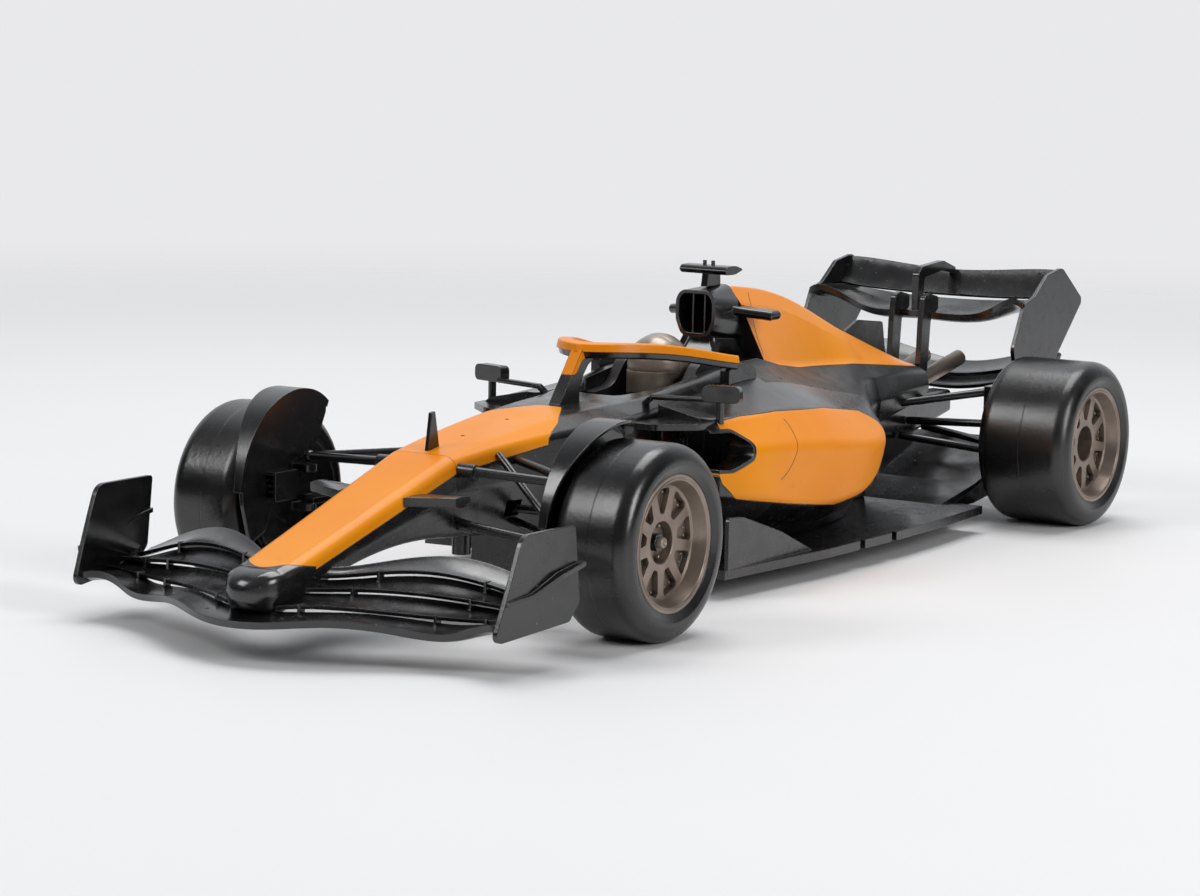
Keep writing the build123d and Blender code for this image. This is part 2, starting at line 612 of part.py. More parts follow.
def helmet():
    """Driver's helmet, a plain moulded dome with a chin and a recessed visor band."""
    y = front(HELMET_Y)
    shell = ball((0, y, HELMET_Z), HELMET_RADIUS)
    crown = ball((0, y + 1.4, HELMET_Z + 0.3), HELMET_RADIUS)
    chin = extrude(Plane.XY.offset(38.0) * Pos(0, y - 1.3) * SlotOverall(12.6, 10.8, 90), 6.4)
    chin = chin & ball((0, y - 1.0, HELMET_Z - 1.2), 8.0)
    visor = ball((0, y, HELMET_Z), 8.5) - ball((0, y, HELMET_Z), HELMET_RADIUS - 0.15)
    band = box(-8, 8, y - 12, y - 0.5, HELMET_Z - 1.2, HELMET_Z + 3.0)
    collar = rod((0, y + 0.5, 32.0), (0, y + 0.5, 39.0), 4.4)
    return shell + crown + chin - (visor & band) + collar


def headrest():
    """Horseshoe headrest, its flanks sweeping up to the rear, with the seat back under it."""
    d1 = COCKPIT_OPEN[1]
    h = COCKPIT_HALF - 0.1
    flank = 2.6
    outer = [(-h, front(70)), (-h, front(d1) - 0.1), (h, front(d1) - 0.1), (h, front(70)),
             (h - flank, front(70)), (h - flank, front(86)), (h - 3.4, front(91.5)),
             (-h + 3.4, front(91.5)), (-h + flank, front(86)), (-h + flank, front(70))]
    ring = prism_z(outer, 32.0, 47.0, [0.8, 2, 2, 0.8, 0.8, 3, 3, 3, 3, 0.8])
    top = prism_x([(front(66), 30), (front(66), 38.6), (front(78), 39.8), (front(83.4), 45.8),
                   (front(100), 45.8), (front(100), 30)],
                  -20, 20, [0, 0, 6, 4, 0, 0])
    seat = prism_x([(front(76), COCKPIT_FLOOR), (front(76), 26.5), (front(88), 32.2), (front(d1) - 0.1, 32.2),
                    (front(d1) - 0.1, COCKPIT_FLOOR)], -h, h)
    return (ring & top) + seat


def dash():
    """Steering wheel with its column, standing off the front wall of the cockpit."""
    y = front(COCKPIT_OPEN[0])
    wheel_body = prism_z([(-4.6, -1.6), (4.6, -1.6), (5.2, 0.4), (4.0, 1.9), (1.6, 1.2), (-1.6, 1.2),
                          (-4.0, 1.9), (-5.2, 0.4)],
                         -0.6, 0.6, 0.4)
    wheel_body = wheel_body.rotate(Axis.X, 68).moved(Location((0, y + 6.5, 34.0)))
    column = rod((0, y - 0.6, 32.2), (0, y + 6.4, 34.0), 0.8)
    return wheel_body + column


# ---------------------------------------------------------------- halo
# x, station and z of the parting line between cap and tube, the cap's width and height, and the
# direction (x, y) in which the hoop runs there.
HALO_ROWS = [
    (0.0, 52.4, 50.3, 6.6, 1.7, 1.0, 0.0),
    (5.6, 54.8, 50.3, 4.4, 1.8, 1.0, 0.8),
    (10.6, 61.6, 49.9, 3.5, 1.9, 0.5, 1.0),
    (14.8, 72.6, 48.5, 3.2, 1.9, 0.3, 1.0),
    (18.0, 86.5, 46.2, 3.0, 1.7, 0.18, 1.0),
]
HALO_TUBE_SHARE = 0.8            # width of the black tube against the cap
HALO_TUBE_DEPTH = 1.5
# Leg in side view, with the part that is orange.
HALO_LEG = [(40.2, 38.4), (46.3, 46.3), (49.7, 50.9), (54.6, 50.9), (54.6, 48.6), (52.2, 47.4), (50.0, 45.0),
            (48.8, 41.6), (49.0, 38.4)]
HALO_LEG_RADII = [0, 6, 0, 0, 0, 2, 4, 4, 0]
HALO_LEG_ORANGE = [(40.0, 45.2), (47.4, 45.6), (49.6, 48.3), (53.0, 49.7), (56.0, 50.3), (56.0, 60.0),
                   (40.0, 60.0)]
HALO_LEG_THICK = 2.8
HALO_FOOT = [(84.0, 44.6), (88.4, 46.2), (96.0, 44.6), (96.0, 40.0), (84.0, 40.0)]


def halo_section(row, low, high, share):
    """Section across the hoop, from z + low to z + high, a little narrower away from the parting line."""
    x, d, z, width, _, run_x, run_y = row
    normal = Vector(run_x, run_y, 0).normalized()
    plane = Plane(origin=(x, front(d), z), x_dir=(-normal.Y, normal.X, 0), z_dir=normal)
    w = width * share / 2
    if high > 0:
        return polygon(plane, [(-w, low), (w, low), (w * 0.8, high), (-w * 0.8, high)], [0, 0, 0.5, 0.5])
    return polygon(plane, [(-w * 0.8, low), (w * 0.8, low), (w, high), (-w, high)], [0.5, 0.5, 0, 0])


def halo_pieces():
    """The orange cap of the hoop and leg, and the black tube and leg under it."""
    cap = loft([halo_section(row, 0, row[4], 1.0) for row in HALO_ROWS])
    tube_half = loft([halo_section(row, -HALO_TUBE_DEPTH, 0, HALO_TUBE_SHARE) for row in HALO_ROWS])
    leg = prism_x([(front(d), z) for d, z in HALO_LEG], -HALO_LEG_THICK / 2, HALO_LEG_THICK / 2,
                  HALO_LEG_RADII)
    orange = leg & prism_x([(front(d), z) for d, z in HALO_LEG_ORANGE], -5, 5, [0, 2, 2, 2, 0, 0, 0])
    foot_x = HALO_ROWS[-1][0] - 1.0
    foot = prism_x([(front(d), z) for d, z in HALO_FOOT], foot_x - 1.2, foot_x + 1.2, [0, 2, 3, 0, 0])
    caps = cap + mirrored(cap) + orange
    frames = (tube_half + mirrored(tube_half) + leg - orange) + foot + mirrored(foot)
    return caps, frames - caps


# ---------------------------------------------------------------- airbox, camera, mirrors
AIRBOX_FRONT = 99.0
AIRBOX_BACK = 110.0


AIRBOX_DECK = 45.2               # height of the flat deck that the intake's neck stands on


def airbox():
    """Air intake above the cockpit: a rounded hollow mouth with two thin vanes, standing on a flared neck."""
    y0, y1 = front(AIRBOX_FRONT), front(AIRBOX_BACK)
    duct = loft([hull_section(y0, [(3.9, 60.4), (5.2, 58.2), (5.2, 53.6), (3.6, 49.8)], [2.5, 3.5, 4.0, 2.5]),
                 hull_section(y1, [(2.2, 61.2), (5.0, 57.4), (6.2, 52.6), (6.4, 48.0)],
                              [2.5, 3.5, 4.0, 2.5])], ruled=True)
    mouth = loft([hull_section(y0 - 0.01, [(3.4, 59.6), (4.4, 57.9), (4.4, 53.8), (3.1, 50.7)],
                               [1.8, 2.6, 3.0, 2.0]),
                  hull_section(y0 + 8, [(2.9, 58.9), (3.9, 57.2), (3.9, 54.4), (2.6, 51.4)],
                               [1.8, 2.6, 3.0, 2.0])], ruled=True)
    vane = box(-1.75, -1.35, y0 + 1.6, y0 + 8.2, 50.0, 60.0)
    shell = duct - mouth + vane + mirrored(vane)
    necks = [(AIRBOX_DECK - 1.4, 7.6, 98.4, 9.4), (48.0, 3.9, 101.0, 6.2), (51.0, 3.0, 101.6, 5.2)]
    neck = loft([polygon(Plane.XY.offset(z), [(-w0, front(d)), (w0, front(d)), (w1, y1), (-w1, y1)], 1.4)
                 for z, w0, d, w1 in necks])
    return shell + neck


def airbox_horn():
    """Aerofoil camera housing that sticks out of the airbox's left side, with a rounded end."""
    root, end = (4.0, front(108.6), 55.6), (12.6, front(112.4), 54.6)
    half_chord, radius = 1.6, 1.1
    tip = rod((end[0], end[1] - half_chord, end[2]), (end[0], end[1] + half_chord, end[2]), radius)
    for side in (-1, 1):
        tip += ball((end[0], end[1] + side * half_chord, end[2]), radius)
    return strut(root, end, 2 * (half_chord + radius), 2 * radius) + tip


def camera():
    """Crosswise aerofoil camera pod on its stem over the airbox."""
    section = [(-3.8, 0.1), (-2.8, 1.0), (1.0, 1.1), (4.4, 0.1), (1.0, -0.9), (-2.8, -0.9)]
    pod = prism_x([(front(105.4) + y, 64.8 + z) for y, z in section], -6.1, 6.1, [0.3, 1.4, 6, 0.2, 6, 1.4])
    stem = prism_x([(front(102.0), 58.0), (front(103.2), 64.6), (front(108.4), 64.6), (front(108.8), 58.0)],
                   -0.8, 0.8)
    pegs = [rod((x, front(104.6), 65.5), (x, front(104.6), 66.9), 0.45) for x in (-1.1, 1.1)]
    return pod + stem + pegs[0] + pegs[1]


def mirror():
    """Left door mirror: rounded head on a bent arm from the cockpit side and a post from the shelf."""
    head = extrude(Plane((30.2, front(60.0), 42.4), x_dir=(1, 0.25, 0), z_dir=(-0.25, 1, 0))
                   * RectangleRounded(8.6, 3.6, 1.2), 2.6)
    foot, bend, joint = (12.3, front(57.5), 39.0), (14.7, front(57.4), 40.9), (26.6, front(59.6), 41.1)
    arm = strut(foot, bend, 2.0, 1.1) + strut(bend, joint, 2.0, 1.1)
    arm += rod((bend[0], bend[1] - 0.5, bend[2]), (bend[0], bend[1] + 0.5, bend[2]), 0.55)
    post = rod((29.6, front(61.0), 36.0), (29.6, front(61.0), 41.0), 0.9)
    return head + arm + post


def inlet_shelf():
    """Left shelf ahead of the sidepod inlet, flowing back into the sidepod's top."""
    plan = [(15.0, front(46.0)), (22.0, front(46.5)), (29.0, front(53.0)), (29.4, front(60.0)),
            (15.0, front(60.0))]
    return prism_z(plan, 35.2, 36.6, [0, 2.0, 1.5, 0, 0])


# ---------------------------------------------------------------- floor
FLOOR_TOP = 6.4
FLOOR_LOW = 4.4
FLOOR_PLAN = [
    (7.0, 20.0), (9.0, 44.0), (26.0, 50.0), (38.9, 49.0), (39.6, 60.0), (41.6, 90.0), (41.6, 104.0), (40.2,
            104.0), (40.2, 106.4),
    (41.6, 106.4), (41.6, 119.0), (40.2, 119.0), (40.2, 121.4), (41.6, 121.4), (40.6, 146.0), (38.4,
            171.0), (30.0, 171.0), (29.6, 176.0),
]
DIFFUSER_START = 166.0
DIFFUSER_ROWS = [
    # d, half-width, top z, low z
    (166.0, 29.8, 6.4, 4.6),
    (184.0, 29.8, 9.6, 8.4),
    (214.0, 28.6, 17.4, 16.2),
]
FENCE = [(50.0, 5.0), (50.0, 17.6), (56.0, 17.2), (72.9, 12.0), (89.9, 5.0)]


def floor_plate():
    """Flat floor with its notched edges, front tray, edge fences and rising diffuser."""
    half = [(x, front(d)) for x, d in FLOOR_PLAN if d <= DIFFUSER_START or x > 31]
    half += [(29.8, front(171.0)), (29.8, front(DIFFUSER_START))]
    right = [(-x, y) for x, y in reversed(half)]
    plate = prism_z(half + right, FLOOR_LOW, FLOOR_TOP)
    plank = prism_z([(-7.0, front(20)), (7.0, front(20)), (7.0, front(160)), (-7.0, front(160))],
                    3.2, FLOOR_LOW, 2.0)
    sections = [polygon(across(front(d)), [(-w, top), (w, top), (w, low), (-w, low)])
                for d, w, top, low in DIFFUSER_ROWS]
    ramp = loft(sections, ruled=True)
    return plate + plank + ramp


def floor_fence():
    """Upright edge of the left half of the floor."""
    return prism_x([(front(d), z) for d, z in FENCE], 38.0, 39.0, [0, 1.0, 6, 12, 0]) & prism_z(
        [(37.9, front(45)), (39.1, front(45)), (39.1, front(91)), (37.9, front(91))], 0, 30)


DIFFUSER_FIN_X = (28.0, 14.0)
DIFFUSER_FIN = [(169.0, 4.4), (186.0, 4.4), (213.6, 8.0), (213.6, 17.0), (184.0, 9.2), (169.0, 5.4)]


def diffuser_fin(x):
    """Upright strake that hangs under the rising rear end of the floor."""
    return prism_x([(front(d), z) for d, z in DIFFUSER_FIN], x - 0.5, x + 0.5)


def bib():
    """Front edge of the floor under the tub."""
    return box(-6.5, 6.5, front(20.0), front(34.0), FLOOR_TOP, 14.4)


PEG_STATION = 6.8
PEG_LOW, PEG_TOP = 11.4, 17.4
PEG_RADIUS = 2.0
PEG_BORE = 0.85
PEG_BORE_DEPTH = 4.0


def nose_peg():
    """Locating peg under the tub, bored from below."""
    y = front(PEG_STATION)
    peg = rod((0, y, PEG_LOW), (0, y, PEG_TOP), PEG_RADIUS)
    return peg - rod((0, y, PEG_LOW - 0.4), (0, y, PEG_LOW + PEG_BORE_DEPTH), PEG_BORE)


# ---------------------------------------------------------------- gearbox, exhausts, rear structure
def gearbox():
    """Narrow rear structure under the tail: case, crash beam and rain light."""
    case = loft([polygon(across(front(160)), [(-8.5, 6.4), (8.5, 6.4), (8.5, 27), (-8.5, 27)], 1.0),
                 polygon(across(front(196)), [(-6.0, 15.5), (6.0, 15.5), (6.0, 28.0), (-6.0, 28.0)],
                         1.0)], ruled=True)
    beam = loft([polygon(across(front(196)), [(-5.0, 18), (5.0, 18), (5.0, 27.6), (-5.0, 27.6)], 1.0),
                 polygon(across(front(222)), [(-3.0, 21.5), (3.0, 21.5), (3.0, 27.2), (-3.0, 27.2)],
                         1.0)], ruled=True)
    return case + beam


def rain_light():
    """Lamp block at the back of the tail."""
    return box(-1.7, 1.7, front(222), front(223.4), 22.2, 26.6)


EXHAUST_RADIUS = 2.0
EXHAUST_BORE = 1.45


def exhaust():
    """Left tail pipe, open at the end."""
    pipe = rod((3.6, front(199.0), 30.4), (5.0, front(222.0), 35.6), EXHAUST_RADIUS)
    return pipe - rod((3.9, front(204.0), 31.53), (5.12, front(224.0), 36.05), EXHAUST_BORE)


SHARK_FIN = [(170, 46.0), (176, 48.2), (188.7, 46.9), (191.3, 36.0), (170, 36.0)]
SHARK_FIN_THICK = 0.9


def shark_fin():
    """Thin vertical blade over the tail."""
    outline = [(front(d), z) for d, z in SHARK_FIN]
    return prism_x(outline, -SHARK_FIN_THICK / 2, SHARK_FIN_THICK / 2, [0, 1.0, 1.0, 0, 0])


# ---------------------------------------------------------------- rear wing
REAR_PLATE_X = 29.6
REAR_PLATE_THICK = 1.0
REAR_MAIN = [
    # x, leading y z, trailing y z, sag
    (0.0, 205.4, 47.8, 225.0, 50.0, 1.8),
    (11.0, 208.0, 47.2, 225.0, 50.2, 1.8),
    (22.0, 208.6, 50.4, 224.8, 51.0, 1.6),
    (30.2, 206.0, 51.4, 224.4, 51.6, 1.2),
]
REAR_FLAP = [
    (0.0, 222.8, 51.4, 227.4, 57.4, 0.6),
    (15.0, 222.6, 51.6, 227.4, 58.2, 0.6),
    (30.2, 222.2, 52.6, 227.0, 59.0, 0.6),
]
REAR_PLATE = [(206.6, 51.8), (212.0, 53.4), (219.0, 58.4), (227.4, 59.8), (239.0, 51.6), (239.0, 50.2),
              (226.0, 38.0), (222.0, 30.0), (222.0, 18.0), (207.0, 16.6), (205.0, 30.0), (201.0, 41.0)]
REAR_PLATE_RADII = [0.5, 1, 2, 3, 1, 1, 3, 1, 1, 1, 4, 3]
BEAM_WING = [
    (0.0, 224.0, 27.6, 232.0, 29.8, 0.8),
    (16.0, 223.0, 29.8, 230.6, 32.6, 0.8),
    (29.6, 221.0, 31.2, 227.0, 34.2, 0.8),
]
BEAM_STEP = (3.0, 3.0, 3.5, 3.4)  # from the lower to the upper element: leading y z, trailing y z
PYLON = [(201.0, 33.0), (201.6, 46.0), (202.6, 52.4), (205.4, 53.0), (210.0, 52.0), (210.0, 49.0),
         (206.2, 46.4), (205.0, 33.0)]
PYLON_X = (3.4, 4.8)
FLAP_ARM = [(206.4, 47.6), (206.4, 57.6), (208.4, 59.4), (220.0, 60.2), (226.6, 58.2), (226.6, 56.4),
            (219.0, 57.8), (209.6, 56.6), (209.2, 47.6)]
FLAP_ARM_THICK = 1.8


def symmetric_blade(rows, le_thick, te_thick):
    """Blade right across the car, with both halves from one list of rows."""
    full = [(-x, ly, lz, ty, tz, sag) for x, ly, lz, ty, tz, sag in reversed(rows[1:])] + list(rows)
    full = [(x, front(ly), lz, front(ty), tz, sag) for x, ly, lz, ty, tz, sag in full]
    return blade(full, le_thick, te_thick)


def rear_endplate():
    """Upright plate at one end of the rear wing."""
    outline = [(front(d), z) for d, z in REAR_PLATE]
    return prism_x(outline, REAR_PLATE_X, REAR_PLATE_X + REAR_PLATE_THICK, REAR_PLATE_RADII)


def beam_wing():
    """Two stacked elements low between the endplates."""
    back, up, te_back, te_up = BEAM_STEP
    high = [(x, ly + back, lz + up, ty + te_back, tz + te_up, sag) for x, ly, lz, ty, tz, sag in BEAM_WING]
    return symmetric_blade(BEAM_WING, 0.9, 0.6), symmetric_blade(high, 0.9, 0.6)


def pylon():
    """Left swan-neck post from the tail up and over the main plane."""
    return prism_x([(front(d), z) for d, z in PYLON], *PYLON_X, [0, 4, 1.2, 1.0, 1.0, 0, 1.5, 0])


def flap_arm():
    """Central actuator arm, from the main plane up to the flap."""
    outline = [(front(d), z) for d, z in FLAP_ARM]
    half = FLAP_ARM_THICK / 2
    return prism_x(outline, -half, half, [0, 1.2, 1.2, 1.5, 0, 0, 1, 1, 0])


# ---------------------------------------------------------------- suspension
UPPER_BALL = (KINGPIN_X, 0.0, KINGPIN_TOP)
LOWER_BALL = (KINGPIN_X, 0.0, KINGPIN_LOW)
# Front links: inner and outer end as x, station, z, then the radius at each end. In order: the upper
# wishbone's two legs, the lower one's, the push rod, and the bosses of the two front legs.
FRONT_LINKS = [
    ((9.0, -6.5, 31.2), UPPER_BALL, 1.0, 0.9),
    ((10.6, 10.5, 31.8), UPPER_BALL, 0.9, 0.9),
    ((7.6, -5.0, 19.8), LOWER_BALL, 1.0, 0.9),
    ((8.6, 13.0, 18.6), LOWER_BALL, 0.9, 0.9),
    ((10.4, 4.6, 33.4), (31.4, -0.6, 16.8), 0.8, 0.8),
    ((8.0, -6.5, 31.2), (12.0, -6.0, 31.0), 1.5, 1.5),
    ((6.8, -5.0, 19.8), (10.4, -4.6, 19.2), 1.3, 1.3),
]


def at(x, d, z):
    """Point from its x, its station and its height."""
    return (x, front(d), z)


def front_suspension():
    """Left front links: two wishbones that end in balls on the kingpin line, and the push rod."""
    solid = ball(at(*UPPER_BALL), BALL_RADIUS)
    for inner, outer, radius, radius_out in FRONT_LINKS:
        solid += rod(at(*inner), at(*outer), radius, radius_out)
    return solid + ball(at(*LOWER_BALL), BALL_RADIUS)


REAR_PLATE_FACE = REAR_TYRE_FACE - REAR_TYRE_WIDTH


REAR_LINK_RADIUS = 0.95
REAR_LINKS = [
    # inner x, station, z, then the station and z where it meets the upright
    (7.0, 181.7, 27.4, 192.0, 31.4),
    (6.0, 198.0, 26.6, 199.0, 31.4),
    (7.4, 186.0, 19.4, 192.0, 16.8),
    (5.6, 202.0, 20.0, 201.4, 16.8),
    (6.6, 192.0, 22.4, 192.5, 23.4),
]


def rear_suspension():
    """Left rear links from the gearbox to the upright."""
    x_out = REAR_PLATE_FACE - RUNNING_GAP - DISC_THICK - 1.4
    links = [rod(at(x, d, z), at(x_out, d_out, z_out), REAR_LINK_RADIUS)
             for x, d, z, d_out, z_out in REAR_LINKS]
    solid = links[0]
    for link in links[1:]:
        solid += link
    return solid


def rear_upright():
    """Left rear upright: post joining the links, cover plate, drum and axle."""
    plate_out = REAR_PLATE_FACE - RUNNING_GAP
    place = Location((0, REAR_AXLE_Y, AXLE_Z))
    post = box(plate_out - DISC_THICK - 1.8, plate_out - 0.2, -9.0, 5.0, -4.4, 13.0).moved(place)
    body = drum(REAR_TYRE_FACE, REAR_TYRE_WIDTH, REAR_HUB_DEPTH).moved(place)
    return body + post + axle_pin(REAR_TYRE_FACE, REAR_HUB_DEPTH, 2.6).moved(place)


def tie_rod():
    """Steering tie rod, an eye at each end around the knuckles' pins."""
    y = front(STEER_ARM)
    solid = rod((-KINGPIN_X, y, TIE_ROD_Z), (KINGPIN_X, y, TIE_ROD_Z), TIE_ROD_RADIUS)
    for x in (-KINGPIN_X, KINGPIN_X):
        solid += rod((x, y, TIE_ROD_Z - 0.8), (x, y, TIE_ROD_Z + 0.8), TIE_ROD_EYE)
    for x in (-KINGPIN_X, KINGPIN_X):
        solid -= rod((x, y, TIE_ROD_Z - 3), (x, y, TIE_ROD_Z + 3), PIN_RADIUS + PIN_CLEARANCE)
    return solid


def whole(shape):
    """Left piece and its mirror image as one node, joined where they meet."""
    twin = mirrored(shape)
    return node(shape, twin)


def main():
    """Builds every piece, fits the neighbours together and writes one STEP file for each node."""
    os.makedirs("parts", exist_ok=True)
    pieces = {}

    # nose, tub and body covers
    nose = nose_volume()
    tub = tub_volume()
    body = body_volume()
    tail = tail_volume()
    surround = surround_volume() - cockpit_cutter()
    planes = front_main_plane()
    winglet = nose_winglet() - nose
    peg = nose_peg() - tub
    tub_front = tub - front_slot()
    tub_black = (tub_front - tub_cutter()) + peg
    fin = prism_x([(front(-6.4), 34.0), (front(-5.2), 42.0), (front(-4.0), 42.2), (front(-2.2), 34.0)],
                  -0.4, 0.4)
    pieces["nose_shell"] = node(nose - nose_cutter() - planes)
    pieces["nose_top_panel"] = node(nose & nose_cutter())
    pieces["nose_winglets"] = whole(winglet)
    pieces["tub_shell"] = node(tub_black)
    pieces["tub_top_panel"] = node(tub_front & tub_cutter())
    pieces["antenna_fin"] = node(fin - tub)
    pieces["cockpit_surround"] = node(surround)
    rest = headrest() - surround
    pieces["headrest"] = node(rest)
    pieces["steering_wheel"] = node(dash() - surround)
    pieces["helmet"] = node(helmet() - rest)

    intake = airbox() - surround
    horn = airbox_horn()
    intake = intake + horn + mirrored(horn)
    above = seam_cutter()
    spine = (cut_range(body, AIRBOX_BACK, BODY_END) & above) + (tail & above)
    engine = cut_range(body, COCKPIT_REAR, BODY_END) - box(-80, 80, -200, front(AIRBOX_BACK), AIRBOX_DECK, 90)
    side_band = box(POD_SPLIT, 80, -200, front(POD_END), 0, 80)
    lower = ((engine - above) - side_band - mirrored(side_band)) + (tail - above)
    pieces["engine_cover_spine"] = node(spine - intake)
    pieces["engine_cover_lower"] = node(lower - intake)
    pieces["airbox"] = node(intake)
    pieces["roll_hoop_camera"] = node(camera() - intake - body)
    leaf = prism_x([(front(d), z) for d, z in LEAF], LEAF_INNER, 60, LEAF_RADII)
    inlet = prism_x([(front(d), z) for d, z in INLET], TUB_HALF + SKIN, 60, INLET_RADII)
    duct = box(TUB_HALF + 2.2, 30.0, front(40), front(INLET_DEPTH), 25.5, 34.8)
    pod = cut_range(body, POD_FRONT, COCKPIT_REAR, TUB_HALF, 80)
    pod = (pod + cut_range(body, COCKPIT_REAR, POD_END, POD_SPLIT, 80) - above) - inlet - duct
    shelf = inlet_shelf() - pod - surround - tub
    mirrors = mirror() - shelf - pod - surround - tub
    rim_block = prism_x([(front(d), z) for d, z in INLET_RIM], TUB_HALF, 60, INLET_RADII)
    panel = (pod & leaf) - rim_block
    pieces["sidepods"] = whole(pod - panel)
    pieces["side_panels"] = whole(panel)
    pieces["inlet_shelves"] = whole(shelf)
    pieces["mirrors"] = whole(mirrors)
    caps, frames = halo_pieces()
    frames = frames - tub - surround - engine - pod - mirrored(pod)
    pieces["halo_cap"] = node(caps - frames)
    pieces["halo_frame"] = node(frames)

    # floor and rear structure
    fence = floor_fence()
    floor = (floor_plate() + fence + mirrored(fence) + bib()) - tub - surround
    fins = [diffuser_fin(x) - floor for x in DIFFUSER_FIN_X]
    case = gearbox() - tail - body - floor
    pipe = exhaust() - tail - case
    pieces["floor"] = node(floor)
    pieces["diffuser_fins"] = node(*fins, *[mirrored(f) for f in fins])
    pieces["gearbox"] = node(case)
    pieces["rain_light"] = node(rain_light())
    pieces["exhaust_pipes"] = whole(pipe)
    pieces["shark_fin"] = node(shark_fin() - tail - body)

    # wings
    plate = front_endplate()
    planes = planes - plate - mirrored(plate)
    flap_set = None
    for k in (1, 2, 3):
        flap = front_element(k) - plate - nose
        flap_set = flap if flap_set is None else flap_set + flap
    for tab in front_brackets():
        flap_set = flap_set + tab
    flap_set = first_solids(flap_set - planes - plate)[0]
    pieces["front_wing_main"] = node(first_solids(planes)[0])
    pieces["front_wing_flaps"] = whole(flap_set)
    pieces["front_endplates"] = whole(plate)
    rear_main = symmetric_blade(REAR_MAIN, 1.6, 0.7)
    rear_flap = symmetric_blade(REAR_FLAP, 0.9, 0.6)
    rear_plate = rear_endplate() - floor
    plates = rear_plate + mirrored(rear_plate)
    low_beam, high_beam = beam_wing()
    pipes = pipe + mirrored(pipe)
    pieces["rear_wing_main"] = node(rear_main - plates)
    pieces["rear_wing_flap"] = node(rear_flap - plates)
    pieces["rear_wing_arm"] = node(flap_arm() - rear_main - rear_flap)
    pieces["rear_wing_pylons"] = whole(first_solids(pylon() - rear_main - tail - case - pipe)[0])
    pieces["beam_wing"] = node(low_beam - plates - case - pipes, high_beam - plates - case - pipes)
    pieces["rear_endplates"] = whole(rear_plate)

    # running gear
    front_place = Location((0, FRONT_AXLE_Y, AXLE_Z))
    upright = rear_upright()
    knuckle = (front_knuckle() + axle_pin(FRONT_TYRE_FACE, FRONT_HUB_DEPTH, 1.9)).moved(front_place)
    shield = deflector().moved(front_place) - knuckle
    pieces["front_links"] = whole(front_suspension() - tub - nose)
    pieces["rear_links"] = whole(rear_suspension() - case - upright - tail - body - floor)
    pieces["rear_uprights"] = whole(upright)
    front_wheel = wheel(FRONT_AXLE_Y, FRONT_TYRE_FACE, FRONT_TYRE_WIDTH, FRONT_HUB_DEPTH, 1)
    rear_wheel = wheel(REAR_AXLE_Y, REAR_TYRE_FACE, REAR_TYRE_WIDTH, REAR_HUB_DEPTH, 1)
    for side, flip in (("left", lambda s: s), ("right", mirrored)):
        pieces[f"front_knuckle_{side}"] = node(flip(knuckle))
        pieces[f"wheel_deflector_{side}"] = node(flip(shield))
        pieces[f"front_tyre_{side}"] = node(flip(front_wheel[0]))
        pieces[f"front_rim_{side}"] = node(flip(front_wheel[1]))
        pieces[f"rear_tyre_{side}"] = node(flip(rear_wheel[0]))
        pieces[f"rear_rim_{side}"] = node(flip(rear_wheel[1]))
    pieces["tie_rod"] = node(tie_rod())

    for name, shape in pieces.items():
        sizes = [round(s.volume, 1) for s in shape.solids()]
        print(name, sizes, shape.is_valid)
        export_step(shape, f"parts/{name}.step")


if __name__ == "__main__":
    main()
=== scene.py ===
"""Studio scene of the 1:18 open wheel racing car around its CAD frame. Metres, +Z up, nose along -Y."""

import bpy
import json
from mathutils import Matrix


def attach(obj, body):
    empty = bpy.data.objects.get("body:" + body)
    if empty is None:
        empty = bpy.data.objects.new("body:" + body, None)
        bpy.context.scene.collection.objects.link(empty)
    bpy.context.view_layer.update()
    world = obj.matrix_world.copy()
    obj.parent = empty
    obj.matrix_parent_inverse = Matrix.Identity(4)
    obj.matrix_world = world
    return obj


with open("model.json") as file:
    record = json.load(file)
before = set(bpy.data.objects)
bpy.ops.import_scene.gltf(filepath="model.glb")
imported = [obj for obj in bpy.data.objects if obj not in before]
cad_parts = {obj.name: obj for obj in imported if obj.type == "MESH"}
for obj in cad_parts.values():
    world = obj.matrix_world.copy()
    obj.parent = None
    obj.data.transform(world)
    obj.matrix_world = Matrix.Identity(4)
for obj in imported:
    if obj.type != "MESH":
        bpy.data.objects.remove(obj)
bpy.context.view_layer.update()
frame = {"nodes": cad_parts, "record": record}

import json
import math

import bpy
from mathutils import Matrix, Vector

MM = 0.001

# ------------------------------------------------------------------ camera, from the photograph
FRONT_AXLE_Y = -84.0 * MM
CAMERA_FROM_AXLE = Vector((429.332, -617.680, 134.921)) * MM  # from the ground below the front axle
CAMERA_AT = CAMERA_FROM_AXLE + Vector((0, FRONT_AXLE_Y, 0))
CAMERA_AZIMUTH = math.radians(32.363)
CAMERA_ELEVATION = math.radians(7.579)
CAMERA_ROLL = math.radians(1.211)
SENSOR_WIDTH = 36.0
FOCAL_PIXELS = 3689.0
PHOTO_WIDTH = 1200.0
LENS = FOCAL_PIXELS / PHOTO_WIDTH * SENSOR_WIDTH


